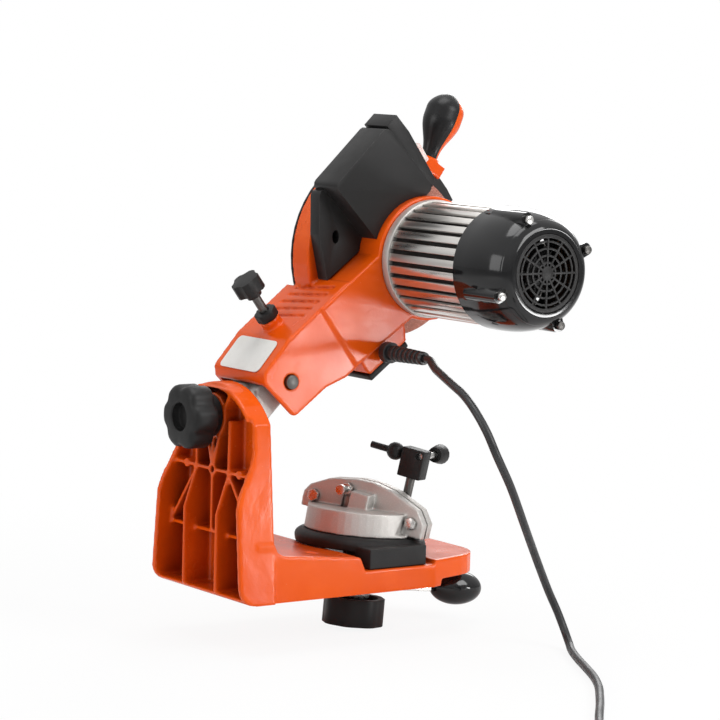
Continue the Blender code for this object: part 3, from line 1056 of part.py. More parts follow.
def build_switch(arm, black, rubber):
    """Switch plate and rocker under the head, and the cord boot."""
    plate = block("switch_plate", (-SWITCH_HALF, -SWITCH_TO, SWITCH_H - GAP - SWITCH_THICK),
                  (SWITCH_HALF, -SWITCH_FROM, SWITCH_H - GAP), arm, black, EDGE)
    mid = -(SWITCH_FROM + SWITCH_TO) / 2
    low = SWITCH_H - GAP - SWITCH_THICK
    window = block("switch_window", (-ROCKER_WIDE / 2 - GAP, mid - ROCKER_LONG / 2 - GAP, low - OVERRUN),
                   (ROCKER_WIDE / 2 + GAP, mid + ROCKER_LONG / 2 + GAP, low + SWITCH_THICK * 0.7), arm)
    cut(plate, window)
    rocker = [(ROCKER_LONG / 2 - EDGE, -EDGE), (-ROCKER_LONG / 2 + EDGE, -EDGE),
              (-ROCKER_LONG / 2 + EDGE, -SWITCH_THICK / 2), (0, -ROCKER_PROUD - EDGE),
              (ROCKER_LONG / 2 - EDGE, -SWITCH_THICK / 2)]
    place = frame_at("rocker_axis", (0, mid, low + SWITCH_THICK / 2), parent=arm)
    slab("switch_rocker", [rocker], -ROCKER_WIDE / 2 + GAP, ROCKER_WIDE / 2 - GAP, "YZ", place, rubber)
    profile = [(BOOT_R, 0), (BOOT_R, -BOOT_COLLAR)]
    pitch = (BOOT_LONG - BOOT_COLLAR - 2 * BOOT_NECK) / BOOT_RINGS
    for k in range(BOOT_RINGS):
        share = k / BOOT_RINGS
        radius = BOOT_RIB_R + (BOOT_END_R - BOOT_RIB_R) * share
        at = -BOOT_COLLAR - BOOT_NECK - pitch * k
        profile += [(radius - EDGE * 0.8, at), (radius - EDGE * 0.8, at - pitch * 0.3), (radius, at - pitch * 0.3),
                    (radius, at - pitch * 0.95)]
    profile += [(BOOT_END_R, -BOOT_LONG), (0, -BOOT_LONG)]
    turned("cord_boot", [(0, 0)] + profile, (ARM_NEAR_X - GAP, -BOOT_REACH, BOOT_DROP), "X", arm, rubber, sides=20)


def jaw_outline():
    """The jaws' low arch over their length, in the jaws' X and Z."""
    shares = ((1, 0), (1, JAW_END / JAW_CREST), (0.92, 0.55), (0.62, 0.82), (0.2, 0.97), (-0.1, 1),
              (-0.4, 0.93), (-0.86, 0.66), (-1, 0.36), (-1, 0))
    return [(JAW_HALF * along, JAW_FOOT + JAW_CREST * rise) for along, rise in shares]


def build_vise(root, lean, swivel, jaws, cast, black, steel, dark):
    """Vise seat, body with the fixed jaw, moving jaw, bolts, lever, stud and lock knob."""
    seat_profile = [(SEAT_R - SEAT_SLOPE, SEAT_HIGH), (SEAT_R - EDGE, SEAT_HIGH - SEAT_DROP), (SEAT_R, SEAT_HIGH / 2),
                    (SEAT_R - EDGE, 0), (SEAT_BORE_R, 0), (SEAT_BORE_R, SEAT_HIGH)]
    seat = turned("vise_seat", seat_profile, (0, 0, 0), "Z", lean, black, sides=56, ring=True)
    lug_low = DECK_SLOT_Z + GAP
    lug_y = VISE_Y + SEAT_LUG_SHIFT
    join(seat, block("seat_lug", (SEAT_LUG_X, lug_y - SEAT_LUG_HALF, lug_low),
                     (SEAT_LUG_ROOT_X, lug_y + SEAT_LUG_HALF - 2 * EDGE, VISE_Z + SEAT_LUG_HIGH), root))
    body_low = SEAT_HIGH + GAP
    body = rod("vise_body", VISE_R, (0, 0, body_low), VISE_HIGH - body_low, "Z", swivel, cast, sides=48,
               end_radius=VISE_R - VISE_TAPER)
    fixed = slab("vise_fixed_jaw", [jaw_outline()], -CHAIN_SLOT - JAW_THICK, -CHAIN_SLOT, "XZ", jaws)
    buttress = block("vise_buttress", (BUTTRESS_X - BUTTRESS_HALF, CHAIN_SLOT + SINK, JAW_FOOT),
                     (BUTTRESS_X + BUTTRESS_HALF, CHAIN_SLOT + JAW_THICK + BUTTRESS_DEEP, BUTTRESS_Z), jaws)
    notch = block("vise_notch", (-JAW_HALF * 1.3, CHAIN_SLOT + JAW_THICK - SINK,
                                 body_low + NOTCH_UP),
                  (-NOTCH_X, VISE_R + OVERRUN, 2 * VISE_HIGH), jaws)
    cut(body, notch)
    join(body, fixed, buttress)
    slot = block("vise_jaw_room", (-JAW_HALF * 1.3, -CHAIN_SLOT - JAW_THICK - JAW_TRAVEL - 2 * GAP, JAW_FOOT - GAP - JAW_ROOM),
                 (JAW_HALF * 1.3, CHAIN_SLOT - GAP, JAW_FOOT + 2 * JAW_CREST), jaws)
    pocket = block("vise_jaw_pocket", (TENSION_X - TENSION_POCKET / 2, CHAIN_SLOT + JAW_THICK - 2 * SINK,
                                         JAW_FOOT + TENSION_POCKET_UP),
                   (TENSION_X + TENSION_POCKET / 2, CHAIN_SLOT + JAW_THICK + OVERRUN,
                    JAW_FOOT + TENSION_POCKET_UP + TENSION_POCKET_HIGH), jaws)
    stud_bore = rod("vise_stud_bore", STUD_R + GAP, (0, 0, 0), VISE_STUD_TOP + GAP, "Z", lean)
    cut(body, slot, pocket, stud_bore)
    moving = slab("moving_jaw", [jaw_outline()], CHAIN_SLOT, CHAIN_SLOT + JAW_THICK, "XZ", jaws, cast)
    bolt_long = 2 * (CHAIN_SLOT + JAW_THICK) + GAP + SINK
    for label, hand in (("left", -1), ("right", 1)):
        x = hand * JAW_BOLT_X
        start = (x, -CHAIN_SLOT - JAW_THICK, JAW_BOLT_Z)
        hole = rod("jaw_bolt_hole_" + label, JAW_BOLT_R + GAP, (x, -3 * JAW_THICK, JAW_BOLT_Z), 6 * JAW_THICK, "Y",
                   jaws, sides=16)
        cut(body, hole)
        cut(moving, hole)
        shank = rod("jaw_bolt_" + label, JAW_BOLT_R, start, bolt_long, "Y", jaws, steel, sides=16)
        join(shank, rod("jaw_bolt_head_" + label, JAW_BOLT_HEAD_R, (x, CHAIN_SLOT + JAW_THICK + GAP, JAW_BOLT_Z),
                        JAW_BOLT_HEAD, "Y", jaws, sides=6))
    screw_low = CHAIN_SLOT + JAW_THICK - TENSION_IN
    tension_hole = rod("tension_hole", TENSION_R + GAP, (TENSION_X, screw_low - GAP, TENSION_Z), 2 * TENSION_LONG, "Y",
                       jaws, sides=16)
    cut(body, tension_hole)
    screw = rod("tension_screw", TENSION_R, (TENSION_X, screw_low, TENSION_Z), TENSION_LONG, "Y", jaws, steel, sides=16)
    nut = rod("tension_nut", TENSION_NUT_R, (TENSION_X, CHAIN_SLOT + JAW_THICK + GAP, TENSION_Z), TENSION_NUT, "Y",
              jaws, sides=6)
    head = rod("tension_head", TENSION_R * 1.5, (TENSION_X, screw_low + TENSION_LONG - SINK, TENSION_Z), TENSION_IN, "Y",
               jaws, sides=16)
    join(screw, nut, head)
    stud_low = LOCK_TOP - LOCK_HIGH * 0.6
    rod("vise_stud", STUD_R, (0, 0, stud_low), VISE_STUD_TOP - stud_low, "Z", lean, steel)
    knob = slab("vise_lock_knob", [lobed(LOCK_R, EDGE, 8, 5)], LOCK_TOP - LOCK_HIGH, LOCK_TOP, "XY", lean, black)
    knob_bore = rod("lock_knob_bore", STUD_R + GAP, (0, 0, stud_low - GAP), LOCK_HIGH + OVERRUN, "Z", lean)
    knob_cup = tube("lock_knob_cup", LOCK_R * 0.78, LOCK_R * 0.42, (0, 0, LOCK_TOP - LOCK_CUP),
                    LOCK_CUP + OVERRUN, "Z",
                    lean)
    cut(knob, knob_bore, knob_cup)
    hub_low = LEVER_TOP - LEVER_THICK
    lever = tube("clamp_lever", LEVER_HUB_R, STUD_R + GAP, (0, 0, LOCK_TOP + GAP), LEVER_TOP - LOCK_TOP - GAP, "Z",
                 lean, steel)
    turned_arm = frame_at("lever_axis", (0, 0, 0), (0, 0, LEVER_TURN), lean)
    bar = block("lever_bar", (LEVER_HUB_R - SINK, -LEVER_WIDE / 2, hub_low + EDGE),
                (LEVER_LONG - EGG_LONG / 2 - GAP / 2, LEVER_WIDE / 2, LEVER_TOP - EDGE), turned_arm)
    join(lever, bar)
    ball("lever_grip", EGG_R, (LEVER_LONG, 0, hub_low + LEVER_THICK / 2 - EGG_DROP), turned_arm, black,
         (EGG_LONG / 2 / EGG_R, 1, 1), 24)
    deck_bore = rod("deck_vise_bore", STUD_R + GAP, (0, 0, 2 * VISE_BOSS_LOW), 3 * -VISE_BOSS_LOW, "Z", lean)
    return body, deck_bore


def build_chain_stop(jaws, black, steel):
    """Chain stop: post, swinging block with its arm and ball, and the adjusting screw."""
    post = rod("stop_post", STOP_POST_R, (STOP_POST_X, STOP_POST_Y, STOP_POST_LOW), STOP_POST_HIGH - STOP_POST_LOW,
               "Z", jaws, steel, sides=16)
    wide, deep, high = PAWL_BLOCK
    low = PAWL_BLOCK_Z - high / 2
    body = block("stop_block", (STOP_POST_X - wide / 2, STOP_POST_Y - deep / 2, low),
                 (STOP_POST_X + wide / 2, STOP_POST_Y + deep / 2, low + high), jaws, black, EDGE)
    hole = rod("stop_post_hole", STOP_POST_R + GAP, (STOP_POST_X, STOP_POST_Y, low - OVERRUN),
               STOP_POST_HIGH + GAP - low + OVERRUN, "Z", jaws, sides=16)
    cut(body, hole)
    arm_z = PAWL_BLOCK_Z + high * 0.22
    arm_start = STOP_POST_X + wide / 2 - SINK
    arm = rod("stop_arm", PAWL_ARM_R, (arm_start, STOP_POST_Y, arm_z), PAWL_ARM_LONG, "X", jaws, sides=12)
    knuckle = ball("stop_knuckle", PAWL_BALL_R, (arm_start + PAWL_BALL_R * 1.3, STOP_POST_Y, arm_z), jaws, sides=16)
    join(body, arm, knuckle)
    screw_x = STOP_POST_X - wide / 2 - PAWL_KNOB_R * 0.2
    screw_at = (STOP_POST_X - wide * 0.28, STOP_POST_Y - deep / 2 - PAWL_SCREW_LONG * 0.7, PAWL_BLOCK_Z + high * 0.3)
    screw_hole = rod("stop_screw_hole", PAWL_SCREW_R + GAP, (screw_at[0], STOP_POST_Y - deep, screw_at[2]),
                     deep * 2, "Y", jaws, sides=12)
    cut(body, screw_hole)
    screw = rod("stop_screw", PAWL_SCREW_R, screw_at, PAWL_SCREW_LONG, "Y", jaws, steel, sides=12)
    knob = rod("stop_knob", PAWL_KNOB_R, (screw_at[0], screw_at[1] - PAWL_KNOB + WALL, screw_at[2]), PAWL_KNOB, "Y",
               jaws, black, sides=16, end_radius=PAWL_KNOB_R * 0.75)
    cut(knob, rod("stop_knob_bore", PAWL_SCREW_R + GAP, (screw_at[0], screw_at[1] - GAP, screw_at[2]),
                  PAWL_SCREW_LONG, "Y", jaws, sides=12))
    return post, screw, screw_x


def smooth_route(points, step):
    """Points read at even steps from a smooth curve through the route."""
    places = [Vector(p) for p in points]
    ends = [2 * places[0] - places[1]] + places + [2 * places[-1] - places[-2]]
    fine = []
    for i in range(1, len(ends) - 2):
        a, b, c, d = ends[i - 1:i + 3]
        for k in range(8):
            t = k / 8
            fine.append(0.5 * (2 * b + (c - a) * t + (2 * a - 5 * b + 4 * c - d) * t * t
                               + (3 * b - a - 3 * c + d) * t ** 3))
    fine.append(places[-1])
    kept, walked = [fine[0]], 0.0
    for before, after in zip(fine, fine[1:]):
        walked += (after - before).length
        if walked >= step:
            kept.append(after)
            walked = 0.0
    kept.append(fine[-1])
    return kept


def build_cord(root, rubber, brass):
    """The free lead: the stretch that isn't coiled, the coil's outer shape and the plug."""
    wire("cord", smooth_route(CORD_ROUTE, CORD_STEP), CORD_R, root, rubber)
    end = Vector(CORD_ROUTE[-1])
    away = (end - Vector(CORD_ROUTE[-2])).normalized()
    side = Vector((-away.y, away.x, 0))
    inner = COIL_TUBE_R - COIL_ROWS * CORD_R
    outer = COIL_TUBE_R + COIL_ROWS * CORD_R
    lane = outer - CORD_R
    run_in = math.sqrt((outer + GAP) ** 2 - (lane - CORD_R) ** 2)
    centre = end + away * run_in + side * lane
    high = 2 * CORD_R * COIL_LAYERS
    low = FLOOR_Z + GAP
    tube("cord_coil", outer, inner, (centre.x, centre.y, low), high, "Z", root, rubber, sides=32)
    run_out = math.sqrt((outer + GAP) ** 2 - (lane - PLUG_TAIL_R) ** 2)
    plug_at = centre + away * lane + side * run_out
    profile = [(0, 0), (PLUG_TAIL_R, 0), (PLUG_R, -PLUG_TAIL), (PLUG_R, -PLUG_LONG), (0, -PLUG_LONG)]
    heading = frame_at("plug_axis", (plug_at.x, plug_at.y, FLOOR_Z + GAP + PLUG_R),
                       (0, 0, math.atan2(side.x, -side.y)), root)
    turned("plug_body", profile, (0, 0, 0), "Y", heading, rubber, sides=24)
    start = -PLUG_LONG - GAP - PLUG_PIN_LONG
    for label, hand in (("left", -1), ("right", 1)):
        rod("plug_pin_" + label, PLUG_PIN_R, (hand * PLUG_PIN_APART / 2, start, 0), PLUG_PIN_LONG, "Y", heading,
            brass, sides=12)


def main():
    """Build every sub-part."""
    clear_scene()
    orange = material("orange_paint", (0.85, 0.14, 0.02), 0.35)
    cast = material("cast_aluminium", (0.62, 0.60, 0.57), 0.4, 1.0)
    alloy = material("polished_fins", (0.72, 0.71, 0.69), 0.25, 1.0)
    steel = material("steel", (0.55, 0.55, 0.56), 0.3, 1.0)
    copper = material("winding", (0.55, 0.25, 0.12), 0.5, 0.6)
    black = material("black_plastic", (0.02, 0.02, 0.022), 0.4)
    rubber = material("black_rubber", (0.015, 0.015, 0.015), 0.6)
    stone = material("grinding_stone", (0.5, 0.25, 0.2), 0.9)
    clear = material("lamp_window", (0.9, 0.75, 0.72), 0.2)
    white = material("bare_plate", (0.85, 0.85, 0.83), 0.4)
    brass = material("plug_brass", (0.7, 0.55, 0.25), 0.3, 1.0)
    root = frame_at("sharpener", (0, 0, 0))
    lean = frame_at("vise_lean", (0, VISE_Y, VISE_Z), (VISE_LEAN, 0, 0), root)
    swivel = frame_at("vise_swivel", (0, 0, 0), (0, 0, SWIVEL_REST), lean)
    jaws = frame_at("jaws", (0, 0, 0), (0, JAW_LEAN, 0), swivel)
    arm = frame_at("arm", (0, PIVOT_Y, PIVOT_Z), (-ARM_PITCH, 0, 0), root)
    reach = Vector((-MOTOR_REACH, MOTOR_DROP))
    hub_y = PIVOT_Y + reach.x * math.cos(ARM_PITCH) + reach.y * math.sin(ARM_PITCH)
    hub_z = PIVOT_Z - reach.x * math.sin(ARM_PITCH) + reach.y * math.cos(ARM_PITCH)
    hub = frame_at("motor_axis", (0, hub_y, hub_z), (0, 0, 0), root)
    stand = build_stand(root, orange)
    build_tilt(root, cast, black, steel)
    head = build_head(arm, hub, orange)
    build_covers(hub, arm, black, clear)
    build_wheel(hub, stone, steel)
    build_motor(hub, alloy, black, steel, copper)
    lean_grip = build_handle(hub, black, orange)
    join(head, rod("head_handle_boss", HANDLE_BOSS_R, (0, 0, -HANDLE_BOSS), HANDLE_BOSS - GAP, "Z", lean_grip))
    build_stop(arm, black, steel, white)
    build_switch(arm, black, rubber)
    deck_bore = build_vise(root, lean, swivel, jaws, cast, black, steel, rubber)[1]
    cut(stand, deck_bore)
    build_chain_stop(jaws, black, steel)
    build_cord(root, rubber, brass)


main()
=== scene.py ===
import json
import math

import bmesh
import bpy
from mathutils import Matrix, Vector


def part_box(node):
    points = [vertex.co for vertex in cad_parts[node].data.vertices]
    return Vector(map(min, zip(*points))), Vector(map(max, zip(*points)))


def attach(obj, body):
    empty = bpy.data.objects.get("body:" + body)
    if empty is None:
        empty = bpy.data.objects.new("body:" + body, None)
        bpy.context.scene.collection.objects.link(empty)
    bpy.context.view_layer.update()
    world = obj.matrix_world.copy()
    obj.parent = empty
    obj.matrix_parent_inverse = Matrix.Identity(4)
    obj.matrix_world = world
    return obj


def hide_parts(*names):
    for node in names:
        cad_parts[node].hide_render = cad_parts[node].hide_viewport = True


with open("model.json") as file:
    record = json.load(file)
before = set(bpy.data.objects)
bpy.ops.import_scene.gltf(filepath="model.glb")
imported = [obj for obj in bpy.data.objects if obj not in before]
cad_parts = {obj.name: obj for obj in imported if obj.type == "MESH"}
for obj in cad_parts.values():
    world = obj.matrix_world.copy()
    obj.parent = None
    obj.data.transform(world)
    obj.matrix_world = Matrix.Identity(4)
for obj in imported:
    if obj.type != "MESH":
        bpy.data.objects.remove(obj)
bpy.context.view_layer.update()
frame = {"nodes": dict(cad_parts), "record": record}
MM = 0.001
FULL_TURN = 2 * math.pi

# Places and sizes shared with the CAD source.
GAP = 0.35 * MM
ARM_NEAR_X = -38 * MM
ARM_PITCH = math.radians(37)
PIVOT_Y, PIVOT_Z = -9.5 * MM, 181.5 * MM
HUB_Y, HUB_Z = -150.01 * MM, 283 * MM
TILT_Z = 152 * MM
GUARD_R = 92 * MM
GUARD_REARWARD = 6 * MM
FLOOR_Z = -43 * MM

# The photograph's view, fitted to it.
CAMERA_AZIMUTH = math.radians(235)
CAMERA_ELEVATION = math.radians(6.2)
CAMERA_ROLL = math.radians(1.5)
CAMERA_EYE = Vector((-2.093, 1.360, 0.470))
CAMERA_LENS = 147.5
CAMERA_SENSOR = 36
CAMERA_CLIP = (0.1, 30)


def add_object(name, data):
    """A new object, linked to the scene."""
    obj = bpy.data.objects.new(name, data)
    bpy.context.scene.collection.objects.link(obj)
    return obj


def matrix_of(x, y, z, origin):
    """A matrix from its three axes and its origin."""
    return Matrix(((x.x, y.x, z.x, origin.x), (x.y, y.y, z.y, origin.y),
                   (x.z, y.z, z.z, origin.z), (0, 0, 0, 1)))


def map_range(tree, low, high, out_low, out_high):
    """A node that remaps a value from one range to another."""
    node = tree.nodes.new("ShaderNodeMapRange")
    sockets = ("From Min", "From Max", "To Min", "To Max")
    for socket, number in zip(sockets, (low, high, out_low, out_high)):
        node.inputs[socket].default_value = number
    return node


def make_camera():
    """The photograph's view: behind the machine and to its motor side, slightly from above."""
    flat = math.cos(CAMERA_ELEVATION)
    back = Vector((math.sin(CAMERA_AZIMUTH) * flat, -math.cos(CAMERA_AZIMUTH) * flat,
                   math.sin(CAMERA_ELEVATION)))
    level = (-back).cross(Vector((0, 0, 1))).normalized()
    over = level.cross(-back)
    right = level * math.cos(CAMERA_ROLL) + over * math.sin(CAMERA_ROLL)
    up = over * math.cos(CAMERA_ROLL) - level * math.sin(CAMERA_ROLL)
    data = bpy.data.cameras.new("camera")
    data.lens, data.sensor_width = CAMERA_LENS, CAMERA_SENSOR
    data.clip_start, data.clip_end = CAMERA_CLIP
    camera = add_object("camera", data)
    camera.matrix_world = matrix_of(right, up, back, CAMERA_EYE)
    bpy.context.scene.camera = camera
    return right, up, back


# Materials: each reads its piece's own coordinates, so that its grain moves with the piece.
class Paint:
    """A Principled material with helpers that add one layer of detail each."""

    COAT_ROUGHNESS = 0.08
    IOR = 1.5
    SHADE_SAMPLES = 8
    SHADE_FROM, SHADE_FULL = 0.62, 0.12
    WEAR_SAMPLES = 6
    WEAR_FROM, WEAR_FULL = 0.985, 0.80

    def __init__(self, name, colour, roughness, metallic=0.0, coat=0.0):
        self.material = bpy.data.materials.new(name)
        self.material.use_nodes = True
        self.tree = self.material.node_tree
        self.shader = self.tree.nodes["Principled BSDF"]
        self.coords = self.tree.nodes.new("ShaderNodeTexCoord").outputs["Object"]
        self.colour = None
        self.set("Base Color", (*colour, 1.0))
        self.set("Roughness", roughness)
        self.set("Metallic", metallic)
        self.set("Coat Weight", coat)
        self.set("Coat Roughness", self.COAT_ROUGHNESS)
        self.set("IOR", self.IOR)
        self.base = colour
        self.normal = None

    def set(self, socket, value):
        """Set a socket of the shader."""
        self.shader.inputs[socket].default_value = value

    def link(self, start, end):
        """Link two sockets."""
        self.tree.links.new(start, end)

    def noise(self, scale, detail, stretch=(1, 1, 1)):
        """A noise value; stretch makes streaks."""
        mapping = self.tree.nodes.new("ShaderNodeMapping")
        mapping.inputs["Scale"].default_value = stretch
        self.link(self.coords, mapping.inputs["Vector"])
        texture = self.tree.nodes.new("ShaderNodeTexNoise")
        texture.inputs["Scale"].default_value = scale
        texture.inputs["Detail"].default_value = detail
        self.link(mapping.outputs["Vector"], texture.inputs["Vector"])
        return texture.outputs["Fac"]

    def spots(self, scale):
        """A value that is zero at scattered points and rises between them."""
        texture = self.tree.nodes.new("ShaderNodeTexVoronoi")
        texture.inputs["Scale"].default_value = scale
        self.link(self.coords, texture.inputs["Vector"])
        return texture.outputs["Distance"]

    def vector_math(self, operation, start):
        """A vector operation whose first value is linked."""
        node = self.tree.nodes.new("ShaderNodeVectorMath")
        node.operation = operation
        self.link(start, node.inputs[0])
        return node

    def distance_from(self, centre, axes):
        """The distance from a point, or from a line where an axis has a share of 0."""
        away = self.vector_math("SUBTRACT", self.coords)
        away.inputs[1].default_value = centre
        kept = self.vector_math("MULTIPLY", away.outputs["Vector"])
        kept.inputs[1].default_value = axes
        return self.vector_math("LENGTH", kept.outputs["Vector"]).outputs["Value"]

    def ranged(self, value, low, high, out_low, out_high):
        """Remap a value."""
        node = map_range(self.tree, low, high, out_low, out_high)
        self.link(value, node.inputs["Value"])
        return node.outputs["Result"]

    def tint(self, value, colour, low, high, strength):
        """Mix another colour in: none at low, as much as strength says at high."""
        share = self.ranged(value, low, high, 0.0, strength)
        mix = self.tree.nodes.new("ShaderNodeMix")
        mix.data_type = "RGBA"
        if self.colour is None:
            mix.inputs["A"].default_value = (*self.base, 1.0)
        else:
            self.link(self.colour, mix.inputs["A"])
        mix.inputs["B"].default_value = (*colour, 1.0)
        self.link(share, mix.inputs["Factor"])
        self.colour = mix.outputs["Result"]
        self.link(self.colour, self.shader.inputs["Base Color"])

    def vary_roughness(self, value, low, high, least, most):
        """Roughness follows a value."""
        self.link(self.ranged(value, low, high, least, most), self.shader.inputs["Roughness"])

    def bump(self, value, distance, strength):
        """Bump from a value, over any earlier bump."""
        node = self.tree.nodes.new("ShaderNodeBump")
        node.inputs["Distance"].default_value = distance
        node.inputs["Strength"].default_value = strength
        self.link(value, node.inputs["Height"])
        if self.normal is not None:
            self.link(self.normal, node.inputs["Normal"])
        self.normal = node.outputs["Normal"]
        self.link(self.normal, self.shader.inputs["Normal"])

    def painted_recess_shade(self, colour, distance, strength):
        """Painted shade: darkens the colour in inner corners and pockets, by how closed in they
        are.
        """
        closed = self.tree.nodes.new("ShaderNodeAmbientOcclusion")
        closed.samples = self.SHADE_SAMPLES
        closed.inputs["Distance"].default_value = distance
        self.tint(closed.outputs["AO"], colour, self.SHADE_FROM, self.SHADE_FULL, strength)

    def edges(self, colour, radius, strength):
        """Wear on edges: mixes a colour in where a rounded normal leaves the face's own."""
        bevel = self.tree.nodes.new("ShaderNodeBevel")
        bevel.samples = self.WEAR_SAMPLES
        bevel.inputs["Radius"].default_value = radius
        geometry = self.tree.nodes.new("ShaderNodeNewGeometry")
        dot = self.vector_math("DOT_PRODUCT", bevel.outputs["Normal"])
        self.link(geometry.outputs["Normal"], dot.inputs[1])
        self.tint(dot.outputs["Value"], colour, self.WEAR_FROM, self.WEAR_FULL, strength)


def orange_enamel():
    """Glossy orange enamel over a casting: slight waviness, dust specks, thinner on edges, painted
    shade in its pockets.
    """
    paint = Paint("orange_enamel", (0.80, 0.096, 0.002), 0.28, coat=0.05)
    paint.set("Specular IOR Level", 0.24)
    paint.tint(paint.noise(9, 4), (0.70, 0.062, 0.003), low=0.40, high=0.72, strength=0.6)
    paint.tint(paint.noise(32, 3), (0.88, 0.125, 0.010), low=0.55, high=0.80, strength=0.6)
    # Painted shade: pockets and inner corners darken to brown-red.
    paint.painted_recess_shade((0.15, 0.012, 0.004), distance=0.050, strength=0.9)
    paint.edges((0.90, 0.20, 0.045), radius=0.0012, strength=0.5)
    specks = paint.ranged(paint.spots(105), 0.0, 0.055, 1.0, 0.0)
    paint.tint(specks, (0.93, 0.45, 0.25), low=0.3, high=0.6, strength=0.45)
    paint.vary_roughness(paint.noise(24, 4), low=0.35, high=0.7, least=0.17, most=0.30)
    paint.bump(paint.noise(70, 2), distance=0.0007, strength=0.35)
    paint.bump(paint.noise(420, 2), distance=0.00012, strength=0.5)
    return paint.material


def black_moulding(name="black_moulding", colour=(0.013, 0.0125, 0.0125), rough=0.42):
    """Black plastic with a fine spark-eroded texture."""
    paint = Paint(name, colour, rough)
    paint.set("Specular IOR Level", 0.27)
    paint.tint(paint.noise(14, 4), tuple(c * 1.9 for c in colour),
               low=0.45, high=0.75, strength=0.6)
    paint.edges(tuple(c * 4.2 for c in colour), radius=0.0009, strength=0.5)
    paint.vary_roughness(paint.noise(40, 4),
                         low=0.3, high=0.7, least=rough - 0.06, most=rough + 0.1)
    paint.bump(paint.noise(1500, 2), distance=0.00008, strength=0.6)
    return paint.material


def gloss_black():
    """Glossy black moulding with slight sinks and dust."""
    paint = Paint("gloss_black", (0.0055, 0.0055, 0.006), 0.1, coat=0.2)
    paint.set("Specular IOR Level", 0.36)
    paint.tint(paint.noise(22, 3), (0.014, 0.014, 0.015), low=0.5, high=0.75, strength=0.5)
    paint.vary_roughness(paint.noise(60, 4), low=0.35, high=0.72, least=0.07, most=0.17)
    paint.bump(paint.noise(36, 2), distance=0.0006, strength=0.3)
    return paint.material


def cast_alloy():
    """Blasted cast aluminium with a painted sparkle of fine light specks, and painted shade in its
    recesses.
    """
    paint = Paint("cast_alloy", (0.56, 0.54, 0.515), 0.5, metallic=0.62)
    paint.tint(paint.noise(28, 4), (0.44, 0.41, 0.38), low=0.42, high=0.75, strength=0.6)
    # Painted sparkle: fine lighter specks in the colour.
    paint.tint(paint.noise(900, 2), (0.74, 0.71, 0.68), low=0.55, high=0.75, strength=0.5)
    # Painted shade: recesses darken to near black.
    paint.painted_recess_shade((0.10, 0.09, 0.085), distance=0.014, strength=0.8)
    paint.edges((0.84, 0.82, 0.79), radius=0.0010, strength=0.6)
    paint.vary_roughness(paint.noise(160, 3), low=0.3, high=0.7, least=0.45, most=0.6)
    paint.bump(paint.noise(1100, 2), distance=0.00012, strength=0.7)
    paint.bump(paint.noise(60, 3), distance=0.0005, strength=0.25)
    return paint.material


# Radii of the painted shade between the fins: full at the first, gone at the second.
FIN_SHADE_FULL_R, FIN_SHADE_CLEAR_R = 47.4 * MM, 49.0 * MM


def bright_fins():
    """Polished extrusion, drawn along the motor's axis, with painted shade between its fins."""
    paint = Paint("bright_fins", (0.74, 0.72, 0.69), 0.3, metallic=1.0)
    paint.tint(paint.noise(26, 4, (0.15, 1, 1)), (0.54, 0.50, 0.46),
               low=0.45, high=0.8, strength=0.6)
    # Painted shade between the fins: towards the roots the colour goes near black, metallic to none
    # and specular low.
    fin_shade_radius = paint.distance_from((0, HUB_Y, HUB_Z), axes=(0, 1, 1))
    paint.tint(fin_shade_radius, (0.016, 0.014, 0.013), low=FIN_SHADE_CLEAR_R, high=FIN_SHADE_FULL_R, strength=1.0)
    for socket, root, crest in (("Metallic", 0.0, 1.0), ("Specular IOR Level", 0.1, 0.5)):
        share = paint.ranged(fin_shade_radius, FIN_SHADE_FULL_R, FIN_SHADE_CLEAR_R, root, crest)
        paint.link(share, paint.shader.inputs[socket])
    paint.vary_roughness(paint.noise(240, 3, (0.05, 1, 1)),
                         low=0.3, high=0.7, least=0.24, most=0.42)
    paint.bump(paint.noise(520, 2, (0.04, 1, 1)), distance=0.0001, strength=0.4)
    return paint.material


def plated_steel(name="plated_steel", colour=(0.6, 0.59, 0.57), rough=0.25):
    """Zinc plated steel with fine turning marks."""
    paint = Paint(name, colour, rough, metallic=1.0)
    paint.tint(paint.noise(60, 4), tuple(c * 0.7 for c in colour),
               low=0.45, high=0.75, strength=0.5)
    paint.vary_roughness(paint.noise(300, 3),
                         low=0.3, high=0.7, least=rough - 0.07, most=rough + 0.12)
    paint.bump(paint.noise(1400, 2), distance=0.00006, strength=0.5)
    return paint.material


def stone():
    """Bonded abrasive: coloured grit."""
    paint = Paint("grinding_stone", (0.42, 0.17, 0.12), 0.92)
    paint.tint(paint.noise(900, 3), (0.72, 0.45, 0.38), low=0.5, high=0.7, strength=0.8)
    paint.tint(paint.spots(1500), (0.16, 0.07, 0.05), low=0.5, high=0.75, strength=0.7)
    paint.bump(paint.noise(1300, 3), distance=0.0003, strength=0.9)
    return paint.material


def sheath():
    """Cord sheath: smooth soft black with a faint bloom."""
    paint = Paint("cord_sheath", (0.012, 0.012, 0.013), 0.38)
    paint.tint(paint.noise(36, 4), (0.03, 0.03, 0.032), low=0.45, high=0.8, strength=0.6)
    paint.vary_roughness(paint.noise(90, 3), low=0.3, high=0.7, least=0.32, most=0.5)
    paint.bump(paint.noise(700, 2), distance=0.00008, strength=0.4)
    return paint.material


def lens():
    """Pale pink lamp window with a frosted face."""
    paint = Paint("lamp_window", (0.93, 0.72, 0.68), 0.2, coat=0.5)
    paint.set("Subsurface Weight", 0.4)
    paint.set("Subsurface Radius", (0.004, 0.002, 0.002))
    paint.tint(paint.noise(160, 3), (0.97, 0.88, 0.86), low=0.4, high=0.7, strength=0.8)
    paint.bump(paint.noise(500, 2), distance=0.0001, strength=0.4)
    return paint.material


def label():
    """A bare pale plate with soft scuffs."""
    paint = Paint("bare_label", (0.80, 0.79, 0.76), 0.32)
    paint.tint(paint.noise(60, 4), (0.70, 0.68, 0.64), low=0.5, high=0.8, strength=0.5)
    paint.tint(paint.noise(240, 3, (1, 0.2, 1)), (0.62, 0.60, 0.57),
               low=0.64, high=0.8, strength=0.4)
    paint.bump(paint.noise(300, 2), distance=0.0001, strength=0.3)
    return paint.material


